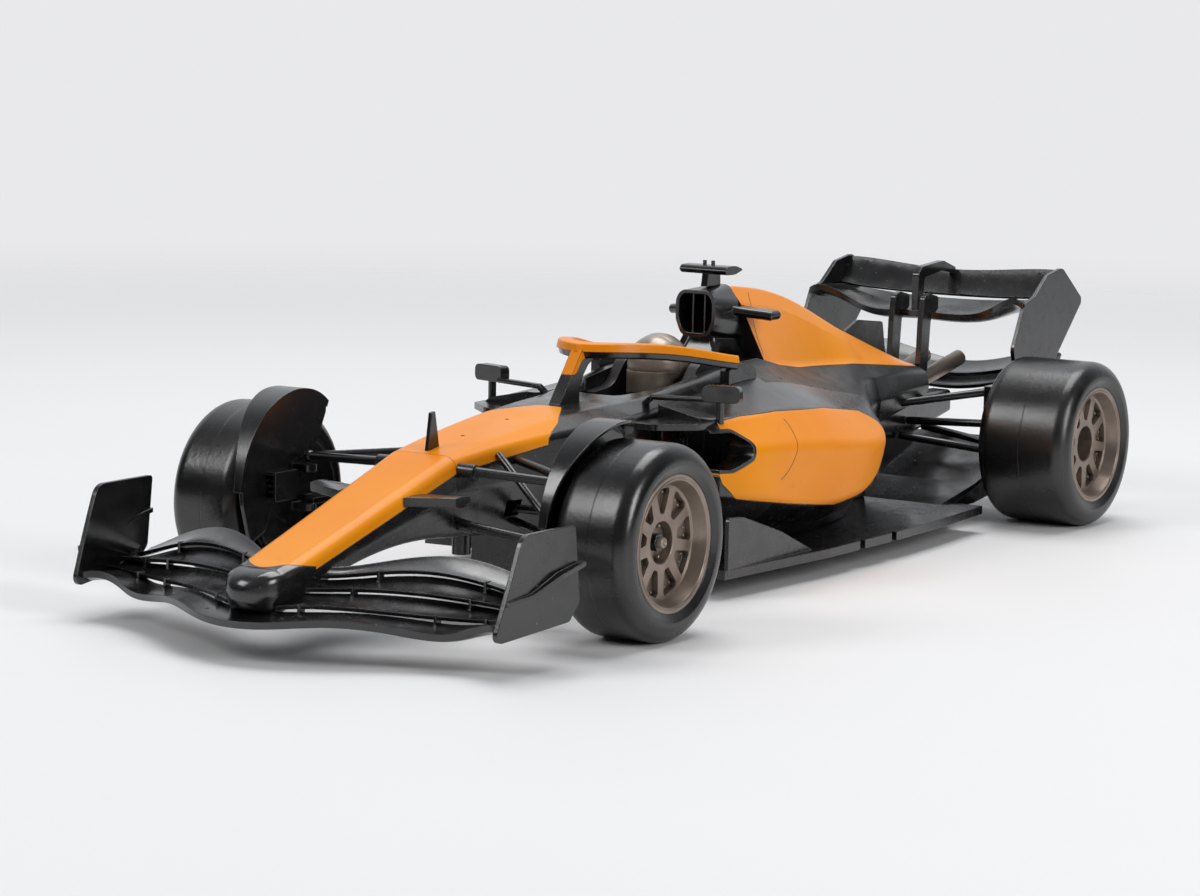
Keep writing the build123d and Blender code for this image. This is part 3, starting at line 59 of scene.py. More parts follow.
def add_camera():
    """Camera at the photograph's place and angle."""
    a, e, r = CAMERA_AZIMUTH, CAMERA_ELEVATION, CAMERA_ROLL
    back = Vector((math.sin(a) * math.cos(e), -math.cos(a) * math.cos(e), math.sin(e)))
    right = (-back).cross(Vector((0, 0, 1))).normalized()
    up = right.cross(-back)
    right, up = right * math.cos(r) + up * math.sin(r), up * math.cos(r) - right * math.sin(r)
    data = bpy.data.cameras.new("camera")
    data.sensor_width = SENSOR_WIDTH
    data.lens = LENS
    data.clip_start = 0.01
    data.clip_end = 20
    obj = bpy.data.objects.new("camera", data)
    obj.matrix_world = Matrix(((right.x, up.x, back.x, CAMERA_AT.x), (right.y, up.y, back.y, CAMERA_AT.y),
                               (right.z, up.z, back.z, CAMERA_AT.z), (0, 0, 0, 1)))
    bpy.context.scene.collection.objects.link(obj)
    bpy.context.scene.camera = obj


# ------------------------------------------------------------------ materials
SPINE_FRONT = 110.0                  # station of the spine cover's front wall, in mm
FRONT_TREAD_MIDDLE = 47.9            # distance of a tread's middle from the car's centre plane, in mm
REAR_TREAD_MIDDLE = 44.0


class Nodes:
    """Short way to build a material's node tree."""

    def __init__(self, name):
        self.material = bpy.data.materials.new(name)
        self.material.use_nodes = True
        self.tree = self.material.node_tree
        self.new = self.tree.nodes.new
        self.shader = self.tree.nodes["Principled BSDF"]
        self.coords = self.new("ShaderNodeTexCoord").outputs["Object"]
        self.rounded = None

    def link(self, a, b):
        """Joins an output socket to an input socket."""
        self.tree.links.new(a, b)

    def noise(self, scale, detail=4.0, rough=0.55, distort=0.0, stretch=None):
        """Fractal noise, 0 to 1, fixed to the piece and stretched along its axes if asked."""
        node = self.new("ShaderNodeTexNoise")
        node.inputs["Scale"].default_value = scale
        node.inputs["Detail"].default_value = detail
        node.inputs["Roughness"].default_value = rough
        node.inputs["Distortion"].default_value = distort
        source = self.coords
        if stretch:
            mapping = self.new("ShaderNodeMapping")
            mapping.inputs["Scale"].default_value = stretch
            self.link(source, mapping.inputs["Vector"])
            source = mapping.outputs["Vector"]
        self.link(source, node.inputs["Vector"])
        return node.outputs["Fac"]

    def spots(self, scale, size):
        """1 inside small scattered spots, 0 elsewhere."""
        node = self.new("ShaderNodeTexVoronoi")
        node.inputs["Scale"].default_value = scale
        self.link(self.coords, node.inputs["Vector"])
        return self.ramp(node.outputs["Distance"], size, size * 0.5)

    def ramp(self, value, low, high, out_low=0.0, out_high=1.0):
        """Smooth step from out_low to out_high as the value goes from low to high."""
        node = self.new("ShaderNodeMapRange")
        node.interpolation_type = "SMOOTHSTEP"
        for key, number in (("From Min", low), ("From Max", high), ("To Min", out_low), ("To Max", out_high)):
            node.inputs[key].default_value = number
        self.link(value, node.inputs["Value"])
        return node.outputs["Result"]

    def math(self, operation, a, b=0.0):
        """Arithmetic on numbers or sockets."""
        node = self.new("ShaderNodeMath")
        node.operation = operation
        for socket, value in zip(node.inputs, (a, b)):
            if isinstance(value, (int, float)):
                socket.default_value = value
            else:
                self.link(value, socket)
        return node.outputs[0]

    def mix(self, factor, a, b):
        """Blend of two colours, given as tuples or sockets."""
        node = self.new("ShaderNodeMix")
        node.data_type = "RGBA"
        self.link(factor, node.inputs["Factor"])
        for socket, value in ((node.inputs[6], a), (node.inputs[7], b)):
            if isinstance(value, tuple):
                socket.default_value = (*value, 1.0)
            else:
                self.link(value, socket)
        return node.outputs[2]

    def round_edges(self, radius):
        """Shades sharp edges as if they had this radius."""
        bevel = self.new("ShaderNodeBevel")
        bevel.samples = 6
        bevel.inputs["Radius"].default_value = radius
        self.rounded = bevel.outputs["Normal"]

    def edges(self, low=0.995, high=0.90):
        """1 near the rounded edges; it marks rubbed plastic and thin paint, painted edge highlights, and
        painted shade in the joints between orange panels.
        """
        geometry = self.new("ShaderNodeNewGeometry")
        dot = self.new("ShaderNodeVectorMath")
        dot.operation = "DOT_PRODUCT"
        self.link(self.rounded, dot.inputs[0])
        self.link(geometry.outputs["Normal"], dot.inputs[1])
        return self.ramp(dot.outputs["Value"], low, high)

    def axes(self):
        """The piece's own X, Y and Z as sockets."""
        node = self.new("ShaderNodeSeparateXYZ")
        self.link(self.coords, node.inputs["Vector"])
        return node.outputs

    def bump(self, height, strength, distance):
        """Relief on top of the rounded edges."""
        node = self.new("ShaderNodeBump")
        node.inputs["Strength"].default_value = strength
        node.inputs["Distance"].default_value = distance
        self.link(height, node.inputs["Height"])
        if self.rounded:
            self.link(self.rounded, node.inputs["Normal"])
        self.link(node.outputs["Normal"], self.shader.inputs["Normal"])

    def set(self, **values):
        """Sets or links the shader's inputs."""
        for key, value in values.items():
            socket = self.shader.inputs[key.replace("_", " ")]
            if isinstance(value, (int, float)):
                socket.default_value = value
            elif isinstance(value, tuple):
                socket.default_value = (*value, 1.0)
            else:
                self.link(value, socket)


def orange_paint(name="orange_paint", black_before=None):
    """Orange paint; the wall at the front of a cover, up to this station in metres, stays black."""
    m = Nodes(name)
    m.round_edges(0.00030)
    cloud = m.noise(22, 3)
    base = m.mix(m.ramp(cloud, 0.35, 0.7), (0.87, 0.262, 0.0030), (0.92, 0.312, 0.0045))
    base = m.mix(m.ramp(m.noise(160, 5), 0.62, 0.78, 0.0, 0.22), base, (0.60, 0.14, 0.007))
    # painted shade: the paint darkens along its edges as the shadow in the joints between panels
    base = m.mix(m.edges(0.97, 0.80), base, (0.10, 0.022, 0.004))
    if black_before is not None:
        wall = m.ramp(m.axes()["Y"], black_before + 0.00008, black_before + 0.00003)
        base = m.mix(wall, base, (0.008, 0.007, 0.007))
    m.set(Base_Color=base, Roughness=m.ramp(m.noise(60, 4), 0.3, 0.7, 0.31, 0.41), Specular_IOR_Level=0.24)
    m.bump(m.noise(900, 3), 0.10, 0.00008)
    return m.material


def black_plastic(name="black_plastic", dark=(0.0030, 0.0030, 0.0034), light=(0.0080, 0.0077, 0.0084),
                  low=0.17, high=0.29, shine=0.80):
    """Moulded plastic with edges lighter from rubbing and a painted highlight, faint brown rub marks and
    dust; low and high bound its roughness.
    """
    m = Nodes(name)
    m.round_edges(0.00028)
    cloud = m.noise(30, 5, 0.6)
    rub = m.noise(55, 6, 0.65, 0.6)
    base = m.mix(m.ramp(cloud, 0.35, 0.7), dark, light)
    base = m.mix(m.ramp(rub, 0.60, 0.82, 0.0, 0.20), base, (0.030, 0.018, 0.013))
    # edges lighter: rubbing wear and a painted highlight along the edges
    edge_wear_and_highlight = m.math("MULTIPLY", m.edges(), m.ramp(m.noise(140, 4), 0.35, 0.7, 0.15, 0.8))
    base = m.mix(edge_wear_and_highlight, base, (0.075, 0.069, 0.066))
    dust = m.math("MULTIPLY", m.spots(420, 0.10), m.ramp(m.noise(40, 2), 0.5, 0.6))
    base = m.mix(dust, base, (0.12, 0.115, 0.11))
    grain = m.ramp(m.noise(260, 5), 0.35, 0.75, -0.03, 0.06)
    rough = m.math("ADD", m.ramp(cloud, 0.3, 0.7, low, high), grain)
    m.set(Base_Color=base, Roughness=rough, IOR=1.55, Specular_IOR_Level=shine)
    m.bump(m.math("ADD", m.noise(1500, 3), m.math("MULTIPLY", m.noise(120, 4), 1.6)), 0.14, 0.00008)
    return m.material


def tyre_rubber(name, centre):
    """Satin black with a fine mould line round the middle of the tread, which lies this far in metres from
    the car's centre plane."""
    m = Nodes(name)
    m.round_edges(0.00030)
    cloud = m.noise(28, 5, 0.62)
    wear = m.noise(70, 6, 0.6, 0.4, (0.35, 1.0, 1.0))
    base = m.mix(m.ramp(cloud, 0.35, 0.72), (0.0034, 0.0034, 0.0037), (0.0090, 0.0088, 0.0090))
    base = m.mix(m.ramp(wear, 0.56, 0.74, 0.0, 0.5), base, (0.042, 0.033, 0.027))
    dust = m.math("MULTIPLY", m.spots(520, 0.09), m.ramp(m.noise(55, 2), 0.52, 0.6))
    base = m.mix(dust, base, (0.11, 0.105, 0.10))
    across = m.math("ABSOLUTE", m.math("SUBTRACT", m.math("ABSOLUTE", m.axes()["X"]), centre))
    line = m.ramp(across, 0.00016, 0.00006)
    drawn = m.math("MULTIPLY", line, m.ramp(m.noise(35, 2), 0.35, 0.6, 0.35, 0.9))
    base = m.mix(drawn, base, (0.0035, 0.0033, 0.0035))
    rough = m.math("ADD", m.ramp(cloud, 0.3, 0.7, 0.20, 0.31), m.ramp(wear, 0.4, 0.7, 0.0, 0.09))
    m.set(Base_Color=base, Roughness=rough, IOR=1.52, Specular_IOR_Level=0.72)
    relief = m.math("ADD", m.noise(900, 4), m.math("MULTIPLY", m.noise(90, 5), 1.8))
    m.bump(m.math("SUBTRACT", relief, m.math("MULTIPLY", line, 5.0)), 0.28, 0.00011)
    return m.material


def bronze_paint(name="bronze_paint", dark=(0.23, 0.182, 0.150), light=(0.36, 0.29, 0.245), metal=0.72):
    """Dull bronze paint, lighter at its edges as wear and painted highlight, and darkened in its hollows by
    painted shade.
    """
    m = Nodes(name)
    m.round_edges(0.00018)
    cloud = m.noise(60, 5, 0.6)
    base = m.mix(m.ramp(cloud, 0.3, 0.7), dark, light)
    # edges lighter: paint wear and a painted highlight along the edges
    edge_wear_and_highlight = m.math("MULTIPLY", m.edges(), m.ramp(m.noise(200, 3), 0.3, 0.7, 0.2, 0.9))
    base = m.mix(edge_wear_and_highlight, base, (0.36, 0.31, 0.26))
    # painted shade: the colour darkens where ambient occlusion finds hollows
    hollow_shade = m.new("ShaderNodeAmbientOcclusion")
    hollow_shade.samples = 4
    hollow_shade.only_local = True
    hollow_shade.inputs["Distance"].default_value = 0.0016
    base = m.mix(m.ramp(hollow_shade.outputs["AO"], 0.75, 0.35, 0.0, 0.85), base, (0.012, 0.009, 0.008))
    rough = m.ramp(m.noise(220, 5), 0.3, 0.75, 0.28, 0.44)
    m.set(Base_Color=base, Roughness=rough, Metallic=metal)
    m.bump(m.noise(1400, 4), 0.25, 0.00008)
    return m.material


def dark_lens():
    """Red lens of the rain light."""
    m = Nodes("lamp_lens")
    base = m.mix(m.ramp(m.noise(300, 3), 0.3, 0.7), (0.055, 0.004, 0.004), (0.10, 0.008, 0.007))
    m.set(Base_Color=base, Roughness=m.ramp(m.noise(200, 3), 0.3, 0.7, 0.16, 0.28), Coat_Weight=0.5)
    m.bump(m.noise(700, 2), 0.1, 0.00005)
    return m.material


def seam_shadow():
    """Dark of a parting line or a pin hole."""
    m = Nodes("seam_shadow")
    base = m.mix(m.ramp(m.noise(150, 3), 0.3, 0.7), (0.006, 0.0045, 0.004), (0.016, 0.012, 0.010))
    m.set(Base_Color=base, Roughness=m.ramp(m.noise(90, 2), 0.3, 0.7, 0.45, 0.6))
    m.bump(m.noise(800, 2), 0.1, 0.00005)
    return m.material


def mirror_glass():
    """Silvered mirror face."""
    m = Nodes("mirror_glass")
    base = m.mix(m.ramp(m.noise(180, 3), 0.3, 0.7), (0.30, 0.31, 0.33), (0.42, 0.43, 0.45))
    m.set(Base_Color=base, Roughness=m.ramp(m.noise(260, 4), 0.3, 0.7, 0.10, 0.24), Metallic=1.0)
    m.bump(m.noise(500, 2), 0.05, 0.00004)
    return m.material


MATERIALS = {
    "orange_paint": orange_paint(),
    "spine_paint": orange_paint("spine_paint", FRONT_AXLE_Y + SPINE_FRONT * MM),
    "black_plastic": black_plastic(),
    "cover_plastic": black_plastic("cover_plastic", low=0.26, high=0.36, shine=0.22),
    "dark_plastic": black_plastic("dark_plastic", (0.012, 0.012, 0.014), (0.022, 0.022, 0.024), 0.30, 0.45),
    "tyre_rubber": tyre_rubber("tyre_rubber", FRONT_TREAD_MIDDLE * MM),
    "rear_tyre_rubber": tyre_rubber("rear_tyre_rubber", REAR_TREAD_MIDDLE * MM),
    "bronze_paint": bronze_paint(),
    "pale_bronze": bronze_paint("pale_bronze", (0.25, 0.205, 0.165), (0.40, 0.345, 0.29), 0.45),
    "lamp_lens": dark_lens(),
    "seam_shadow": seam_shadow(),
    "mirror_glass": mirror_glass(),
}
# CAD nodes whose material is not simply the one of their slot
OWN_MATERIAL = {
    "rear_tyre_left": "rear_tyre_rubber",
    "rear_tyre_right": "rear_tyre_rubber",
    "helmet": "pale_bronze",
    "engine_cover_spine": "spine_paint",
    "engine_cover_lower": "cover_plastic",
}


def paint_frame():
    """Gives every CAD node the material of its slot in the record, or its own."""
    slots = {part["node"]: part["material_slot"] for part in frame["record"]["subparts"]}
    for name, obj in frame["nodes"].items():
        for entry in obj.material_slots:
            entry.material = MATERIALS[OWN_MATERIAL.get(name, slots[name])]


# ------------------------------------------------------------------ small pieces, in millimetres
SMALL = {}                           # (body, material) -> vertices and faces collected for one piece


def collect(body, material, verts, faces):
    """Adds faces to the piece that rides on this body in this material."""
    points, polygons = SMALL.setdefault((body, material), ([], []))
    start = len(points)
    points.extend(tuple(value * MM for value in vert) for vert in verts)
    polygons.extend(tuple(start + index for index in face) for face in faces)


def lathe(body, material, centre, axis, profile, segments):
    """Turned piece: profile rows are (radius, height along the axis)."""
    axis = Vector(axis).normalized()
    side = axis.orthogonal().normalized()
    third = axis.cross(side)
    verts = []
    for radius, height in profile:
        for i in range(segments):
            t = 2 * math.pi * i / segments
            verts.append(Vector(centre) + axis * height + (side * math.cos(t) + third * math.sin(t)) * radius)
    faces = []
    for row in range(len(profile) - 1):
        for i in range(segments):
            a, b = row * segments + i, row * segments + (i + 1) % segments
            faces.append((a, b, b + segments, a + segments))
    collect(body, material, verts, faces)


def sweep(body, material, path, outline):
    """Bar along a path of (point, outward normal): outline rows are (across, out)."""
    verts, faces = [], []
    count = len(outline)
    for index, (point, normal) in enumerate(path):
        before, after = path[max(index - 1, 0)][0], path[min(index + 1, len(path) - 1)][0]
        across = (after - before).normalized().cross(normal).normalized()
        verts += [point + across * a + normal * b for a, b in outline]
    for row in range(len(path) - 1):
        for i in range(count - 1):
            a = row * count + i
            faces.append((a, a + 1, a + 1 + count, a + count))
    collect(body, material, verts, faces)


def touch(node, start, direction):
    """Where a line from start meets a CAD node, with the surface's outward normal."""
    obj = frame["nodes"][node]
    inverse = obj.matrix_world.inverted()
    origin = inverse @ (Vector(start) * MM)
    heading = (inverse.to_3x3() @ Vector(direction)).normalized()
    found, at, normal, _ = obj.ray_cast(origin, heading)
    if not found:
        return None
    normal = (obj.matrix_world.to_3x3() @ normal).normalized()
    if normal.dot(Vector(direction)) > 0:
        normal = -normal
    return obj.matrix_world @ at / MM, normal


def along(points, step):
    """Points on a Catmull-Rom curve through the given ones, about this far apart."""
    points = [Vector(p) for p in points]
    ends = [points[0] * 2 - points[1], *points, points[-1] * 2 - points[-2]]
    result = []
    for a, b, c, d in zip(ends, ends[1:], ends[2:], ends[3:]):
        steps = max(2, int((c - b).length / step))
        for i in range(steps):
            t = i / steps
            square, cube = 2 * a - 5 * b + 4 * c - d, 3 * b - a - 3 * c + d
            result.append(0.5 * (2 * b + (c - a) * t + square * t * t + cube * t ** 3))
    return result + [points[-1]]


def car(x, station, z):
    """Point at a station behind the front axle."""
    return Vector((x, FRONT_AXLE_Y / MM + station, z))


def both(points):
    """The points, and their mirror images on the other side."""
    return [points, [Vector((-p.x, p.y, p.z)) for p in points]]


SEAM_STEP = 0.7
SEAM_REACH = 8.0                     # a line towards the surface starts this far outside it
SEAM_OUTLINE = ((-0.11, -0.02), (-0.09, 0.02), (-0.03, 0.035), (0.03, 0.035), (0.09, 0.02), (0.11, -0.02))
SEAMS = (
    # node, direction towards the surface on the left side, points (x, station, z)
    ("side_panels", (-1, 0, 0), ((33.0, 82.9, 35.3), (34.9, 83.4, 33.4), (36.6, 82.4, 30.5),
                                 (37.2, 80.9, 27.3), (37.2, 78.6, 24.7), (37.0, 75.5, 22.9))),
    ("engine_cover_lower", (-0.5, 0, -1), ((11.0, 122.6, 41.3), (13.6, 123.4, 39.6), (16.8, 124.4, 37.2),
                                           (19.4, 125.4, 34.4))),
    ("engine_cover_spine", (-1, 0, 0), ((3.0, 117.4, 58.9), (5.3, 114.8, 56.0), (7.5, 112.7, 52.3),
                                        (9.6, 111.4, 48.8), (11.2, 111.0, 45.6))),
)


def add_seams():
    """Fine parting lines of the moulded covers."""
    for node, toward, points in SEAMS:
        for side, curve in zip((1, -1), both(along([car(*p) for p in points], SEAM_STEP))):
            heading = Vector((toward[0] * side, toward[1], toward[2])).normalized()
            path = [hit for hit in (touch(node, p - heading * SEAM_REACH, heading) for p in curve) if hit]
            sweep("chassis", "seam_shadow", path, SEAM_OUTLINE)


FITTING_REACH = 6.0
# Turned fittings, as rows of radius and height above the surface
SCREW = ((0.62, -0.05), (0.60, 0.05), (0.50, 0.11), (0.36, 0.12), (0.30, 0.02), (0.14, 0.0), (0.0, 0.0))
PIN_HOLE = ((0.42, -0.02), (0.40, 0.035), (0.30, 0.04), (0.26, 0.015), (0.0, 0.012))
FITTINGS = (
    # node, profile, direction towards the surface, (x, station, z), mirrored
    ("tub_top_panel", PIN_HOLE, (0, 0, -1), (0.0, 6.6, 40.0), False),
    ("tub_top_panel", PIN_HOLE, (0, 0, -1), (0.0, 22.9, 42.0), False),
    ("rear_wing_flap", PIN_HOLE, (0, 0.6, -1), (24.6, 226.2, 58.4), True),
    ("engine_cover_lower", PIN_HOLE, (-0.6, 0, -1), (19.0, 118.0, 36.5), True),
    ("engine_cover_lower", PIN_HOLE, (-0.6, 0, -1), (18.1, 107.2, 41.1), True),
    ("nose_shell", PIN_HOLE, (0, 1, 0), (1.6, -75.0, 12.2), True),
    ("floor", SCREW, (0, 0, 1), (12.0, 70.0, -2.0), True),
    ("floor", SCREW, (0, 0, 1), (12.0, 150.0, -2.0), True),
    ("front_wing_main", PIN_HOLE, (0, 0, -1), (9.0, -66.2, 14.0), True),
)


def add_fittings():
    """Moulding pins on the covers and the screws that hold the base."""
    for node, profile, toward, place, twin in FITTINGS:
        x, station, z = place
        for side in (1, -1) if twin else (1,):
            heading = Vector((toward[0] * side, toward[1], toward[2])).normalized()
            hit = touch(node, car(x * side, station, z) - heading * FITTING_REACH, heading)
            material = "seam_shadow" if profile is PIN_HOLE else "bronze_paint"
            if hit:
                lathe("chassis", material, *hit, profile, 16)


AXLE_Z = 20.0
SIDEWALL_BULGE = 0.8                 # the tyre's outer face beyond the rim's lip
RIM_DISH = 3.0                       # depth of the spoke disc behind the lip
SPOKE_FACE = 2.2                     # thickness of the spoke disc
SPOKE_COUNT = 9
POCKET_DEPTH = 1.4
HUB_FLOOR = 3.0                      # thickness left under the hub's recess
WHEELS = (
    # wheel body, station, tyre's outer face, hub depth, body that carries the axle
    ("front_wheel", 0.0, 56.7, 3.0, "front_knuckle"),
    ("rear_wheel", 198.0, 56.0, 6.0, "chassis"),
)
AXLE_HEAD = (0.25, 1.4)              # its gap from the hub's floor, and its thickness
LIP_BEAD = ((12.92, -0.12), (12.98, 0.10), (13.10, 0.16), (13.24, 0.10), (13.30, -0.12))
DISC_RIDGE = ((11.05, -0.06), (11.12, 0.10), (11.22, 0.12), (11.32, 0.10), (11.40, -0.06))
RIVET = ((0.36, -0.05), (0.34, 0.20), (0.22, 0.34), (0.0, 0.38))
RIVET_CIRCLE = 10.1
RIVET_SPREAD = (-9.5, 0.0, 9.5)      # degrees from the middle of a pocket
DRIVE_PIN = ((0.42, -0.05), (0.40, 0.9), (0.28, 1.05), (0.0, 1.08))
DRIVE_PIN_CIRCLE = 3.3
DRIVE_PIN_ANGLES = (18, 90, 162, 234, 306)
AXLE_END = ((1.15, -0.05), (1.15, 0.9), (1.0, 1.15), (0.55, 1.2), (0.5, 1.0), (0.0, 1.0))


def add_wheel_trim():
    """Raised lip bead, rivets in the pockets, drive pins and the turned end of the axle on each wheel."""
    for name, station, face, depth, carrier in WHEELS:
        for side, word in ((1, "left"), (-1, "right")):
            wheel = f"{name}_{word}"
            disc = face - SIDEWALL_BULGE - RIM_DISH
            axis = Vector((side, 0, 0))
            centre = Vector((0, FRONT_AXLE_Y / MM + station, AXLE_Z))

            def place(out):
                """Point on the wheel's axis at this distance from the centre plane."""
                return centre + axis * out

            lathe(wheel, "bronze_paint", place(face - SIDEWALL_BULGE), axis, LIP_BEAD, 96)
            lathe(wheel, "bronze_paint", place(disc), axis, DISC_RIDGE, 96)
            for i in range(SPOKE_COUNT):
                for shift in RIVET_SPREAD:
                    t = math.radians(360 / SPOKE_COUNT * i + shift)
                    outward = Vector((0, -math.sin(t), math.cos(t)))
                    spot = place(disc - POCKET_DEPTH) + outward * RIVET_CIRCLE
                    lathe(wheel, "bronze_paint", spot, axis, RIVET, 10)
            floor_x = disc - SPOKE_FACE - depth + HUB_FLOOR
            for angle in DRIVE_PIN_ANGLES:
                t = math.radians(angle)
                spot = place(floor_x) + Vector((0, math.sin(t), math.cos(t))) * DRIVE_PIN_CIRCLE
                lathe(wheel, "bronze_paint", spot, axis, DRIVE_PIN, 12)
            holder = carrier if carrier == "chassis" else f"{carrier}_{word}"
            lathe(holder, "pale_bronze", place(floor_x + sum(AXLE_HEAD)), axis, AXLE_END, 24)


NOSE_CAP_START = -61.5               # station where the bullet begins
NOSE_CAP_TIP = -68.3
NOSE_CAP_AXIS = 13.0                 # height of the bullet's axis
NOSE_CAP_EDGE = (-61.4, -53.0, 5.7)  # rear edge: station on top, station on the sides, half-width of its arc
NOSE_CAP_SKIN = 0.09                 # height of the skin above the nose
NOSE_CAP_REACH = 14.0                # a line towards the nose starts this far from the axis
NOSE_CAP_ROUNDING = 0.75             # how far the bullet's section turns into a circle at its tip
NOSE_CAP_FULLNESS = 0.9              # exponent of its outline: 1 is an ellipse, less is fuller
NOSE_CAP_AROUND = 120
NOSE_CAP_RINGS = 16                  # rings of the bullet
NOSE_CAP_SKIN_RINGS = 8


def add_nose_cap():
    """Rounded black nose cap: a bullet at the front, then a skin on the nose with an edge on the orange."""
    top, side, arc = NOSE_CAP_EDGE

    def spoke(t):
        """Outward direction at this angle round the axis."""
        return Vector((math.sin(t), 0, math.cos(t)))

    def nose_radius(station, t):
        """Distance from the axis to just outside the nose."""
        centre = car(0, station, NOSE_CAP_AXIS)
        start = centre + spoke(t) * NOSE_CAP_REACH
        hits = [touch(node, start, -spoke(t)) for node in ("nose_shell", "nose_top_panel")]
        return max((hit[0] - centre).length for hit in hits if hit) + NOSE_CAP_SKIN

    def ring_point(station, t, radius):
        """Point of the cap at this station, angle and radius."""
        return car(math.sin(t) * radius, station, NOSE_CAP_AXIS + math.cos(t) * radius)

    angles = [2 * math.pi * i / NOSE_CAP_AROUND for i in range(NOSE_CAP_AROUND)]
    full = [nose_radius(NOSE_CAP_START, t) for t in angles]
    mean = sum(full) / NOSE_CAP_AROUND
    rings = []
    for j in range(NOSE_CAP_RINGS + 1):
        slope = math.pi / 2 * (1 - j / NOSE_CAP_RINGS)
        station = NOSE_CAP_START + (NOSE_CAP_TIP - NOSE_CAP_START) * math.sin(slope)
        rounder = NOSE_CAP_ROUNDING * math.sin(slope) ** 2
        size = math.cos(slope) ** NOSE_CAP_FULLNESS
        rings.append([ring_point(station, t, (r + (mean - r) * rounder) * size)
                      for t, r in zip(angles, full)])
    for j in range(1, NOSE_CAP_SKIN_RINGS + 1):
        ring = []
        for t, r in zip(angles, full):
            x = min(abs(math.sin(t) * r), arc) if math.cos(t) > 0 else arc
            end = top + (side - top) * (1 - math.sqrt(max(0.0, 1 - (x / arc) ** 2)))
            station = NOSE_CAP_START + (end - NOSE_CAP_START) * j / NOSE_CAP_SKIN_RINGS
            ring.append(ring_point(station, t, nose_radius(station, t)))
        rings.append(ring)
    rings.append([point - spoke(t) * (NOSE_CAP_SKIN * 2) for point, t in zip(rings[-1], angles)])
    n = NOSE_CAP_AROUND
    verts = [point for ring in rings for point in ring]
    faces = [(k * n + i, k * n + (i + 1) % n, (k + 1) * n + (i + 1) % n, (k + 1) * n + i)
             for k in range(len(rings) - 1) for i in range(n)]
    collect("chassis", "black_plastic", verts, faces)


def plate(body, material, centre, normal, size, corner, thick):
    """Rounded rectangular plate with a chamfered face, upright on the surface whose normal is given."""
    normal = Vector(normal).normalized()
    across = normal.cross(Vector((0, 0, 1))).normalized()
    up = across.cross(normal)
    w, h = size[0] / 2 - corner, size[1] / 2 - corner
    outline = []
    for cx, cy, start in ((w, h, 0), (-w, h, 90), (-w, -h, 180), (w, -h, 270)):
        for k in range(5):
            t = math.radians(start + 22.5 * k)
            outline.append((cx + corner * math.cos(t), cy + corner * math.sin(t), cx, cy))
    verts = []
    for shrink, height in ((0.0, -0.05), (0.0, thick * 0.6), (0.25, thick)):
        for x, y, cx, cy in outline:
            spot = Vector(centre) + across * (x + (cx - x) * shrink) + up * (y + (cy - y) * shrink)
            verts.append(spot + normal * height)
    n = len(outline)
    faces = [(r * n + i, r * n + (i + 1) % n, (r + 1) * n + (i + 1) % n, (r + 1) * n + i)
             for r in range(2) for i in range(n)]
    faces.append(tuple(range(2 * n, 3 * n)))
    collect(body, material, verts, faces)


MIRROR_GLASS = ((7.2, 2.5), 0.7, 0.12)  # size, corner radius and thickness
MIRROR_SPOT = (29.4, 70.0, 42.4)     # behind the left mirror: x, station, z
MIRROR_TOE = 0.25                    # slope of the glass towards the driver
BEHIND_LAMP = 240.0                  # station behind the rain light
LAMP_CELL = ((0.36, -0.03), (0.33, 0.10), (0.2, 0.17), (0.0, 0.2))
LAMP_CELL_X = (-0.9, 0.0, 0.9)
LAMP_CELL_Z = (22.9, 23.9, 24.9, 25.9)


def add_plates():
    """Mirror glasses and the cells of the rain light."""
    for side in (1, -1):
        x, station, z = MIRROR_SPOT
        back = Vector((-MIRROR_TOE * side, 1.0, 0)).normalized()
        hit = touch("mirrors", car(x * side, station, z), (0, -1, 0))
        if hit:
            plate("chassis", "mirror_glass", hit[0], back, *MIRROR_GLASS)
    for z in LAMP_CELL_Z:
        for x in LAMP_CELL_X:
            hit = touch("rain_light", car(x, BEHIND_LAMP, z), (0, -1, 0))
            if hit:
                lathe("chassis", "lamp_lens", *hit, LAMP_CELL, 12)


def add_small_pieces():
    """Makes one mesh for each body and material, and rides it on its body."""
    for (body, material), (points, polygons) in SMALL.items():
        mesh = bpy.data.meshes.new(f"{body}_{material}_trim")
        mesh.from_pydata(points, [], polygons)
        mesh.materials.append(MATERIALS[material])
        for face in mesh.polygons:
            face.use_smooth = True
        obj = bpy.data.objects.new(mesh.name, mesh)
        bpy.context.scene.collection.objects.link(obj)
        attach(obj, body)


# ------------------------------------------------------------------ studio
PAPER = (0.815, 0.815, 0.830)        # what the camera sees past the lit floor
ROOM = (0.94, 0.96, 1.0)             # colour of the room's light
FLOOR_FADE = (0.40, 0.95)            # the floor turns into the paper between these distances, in metres
FLOOR_SIZE = 3.0                     # radius of its disc
WORLD_BASE = 0.05                    # even glow under the lobes
WORLD_LOBES = (
    # direction, cosines where the glow starts and where it is full, strength
    ((0.0, 0.0, 1.0), 0.1, 0.9, 0.20),
    ((-0.53, 0.85, 0.10), 0.30, 0.85, 0.78),
)


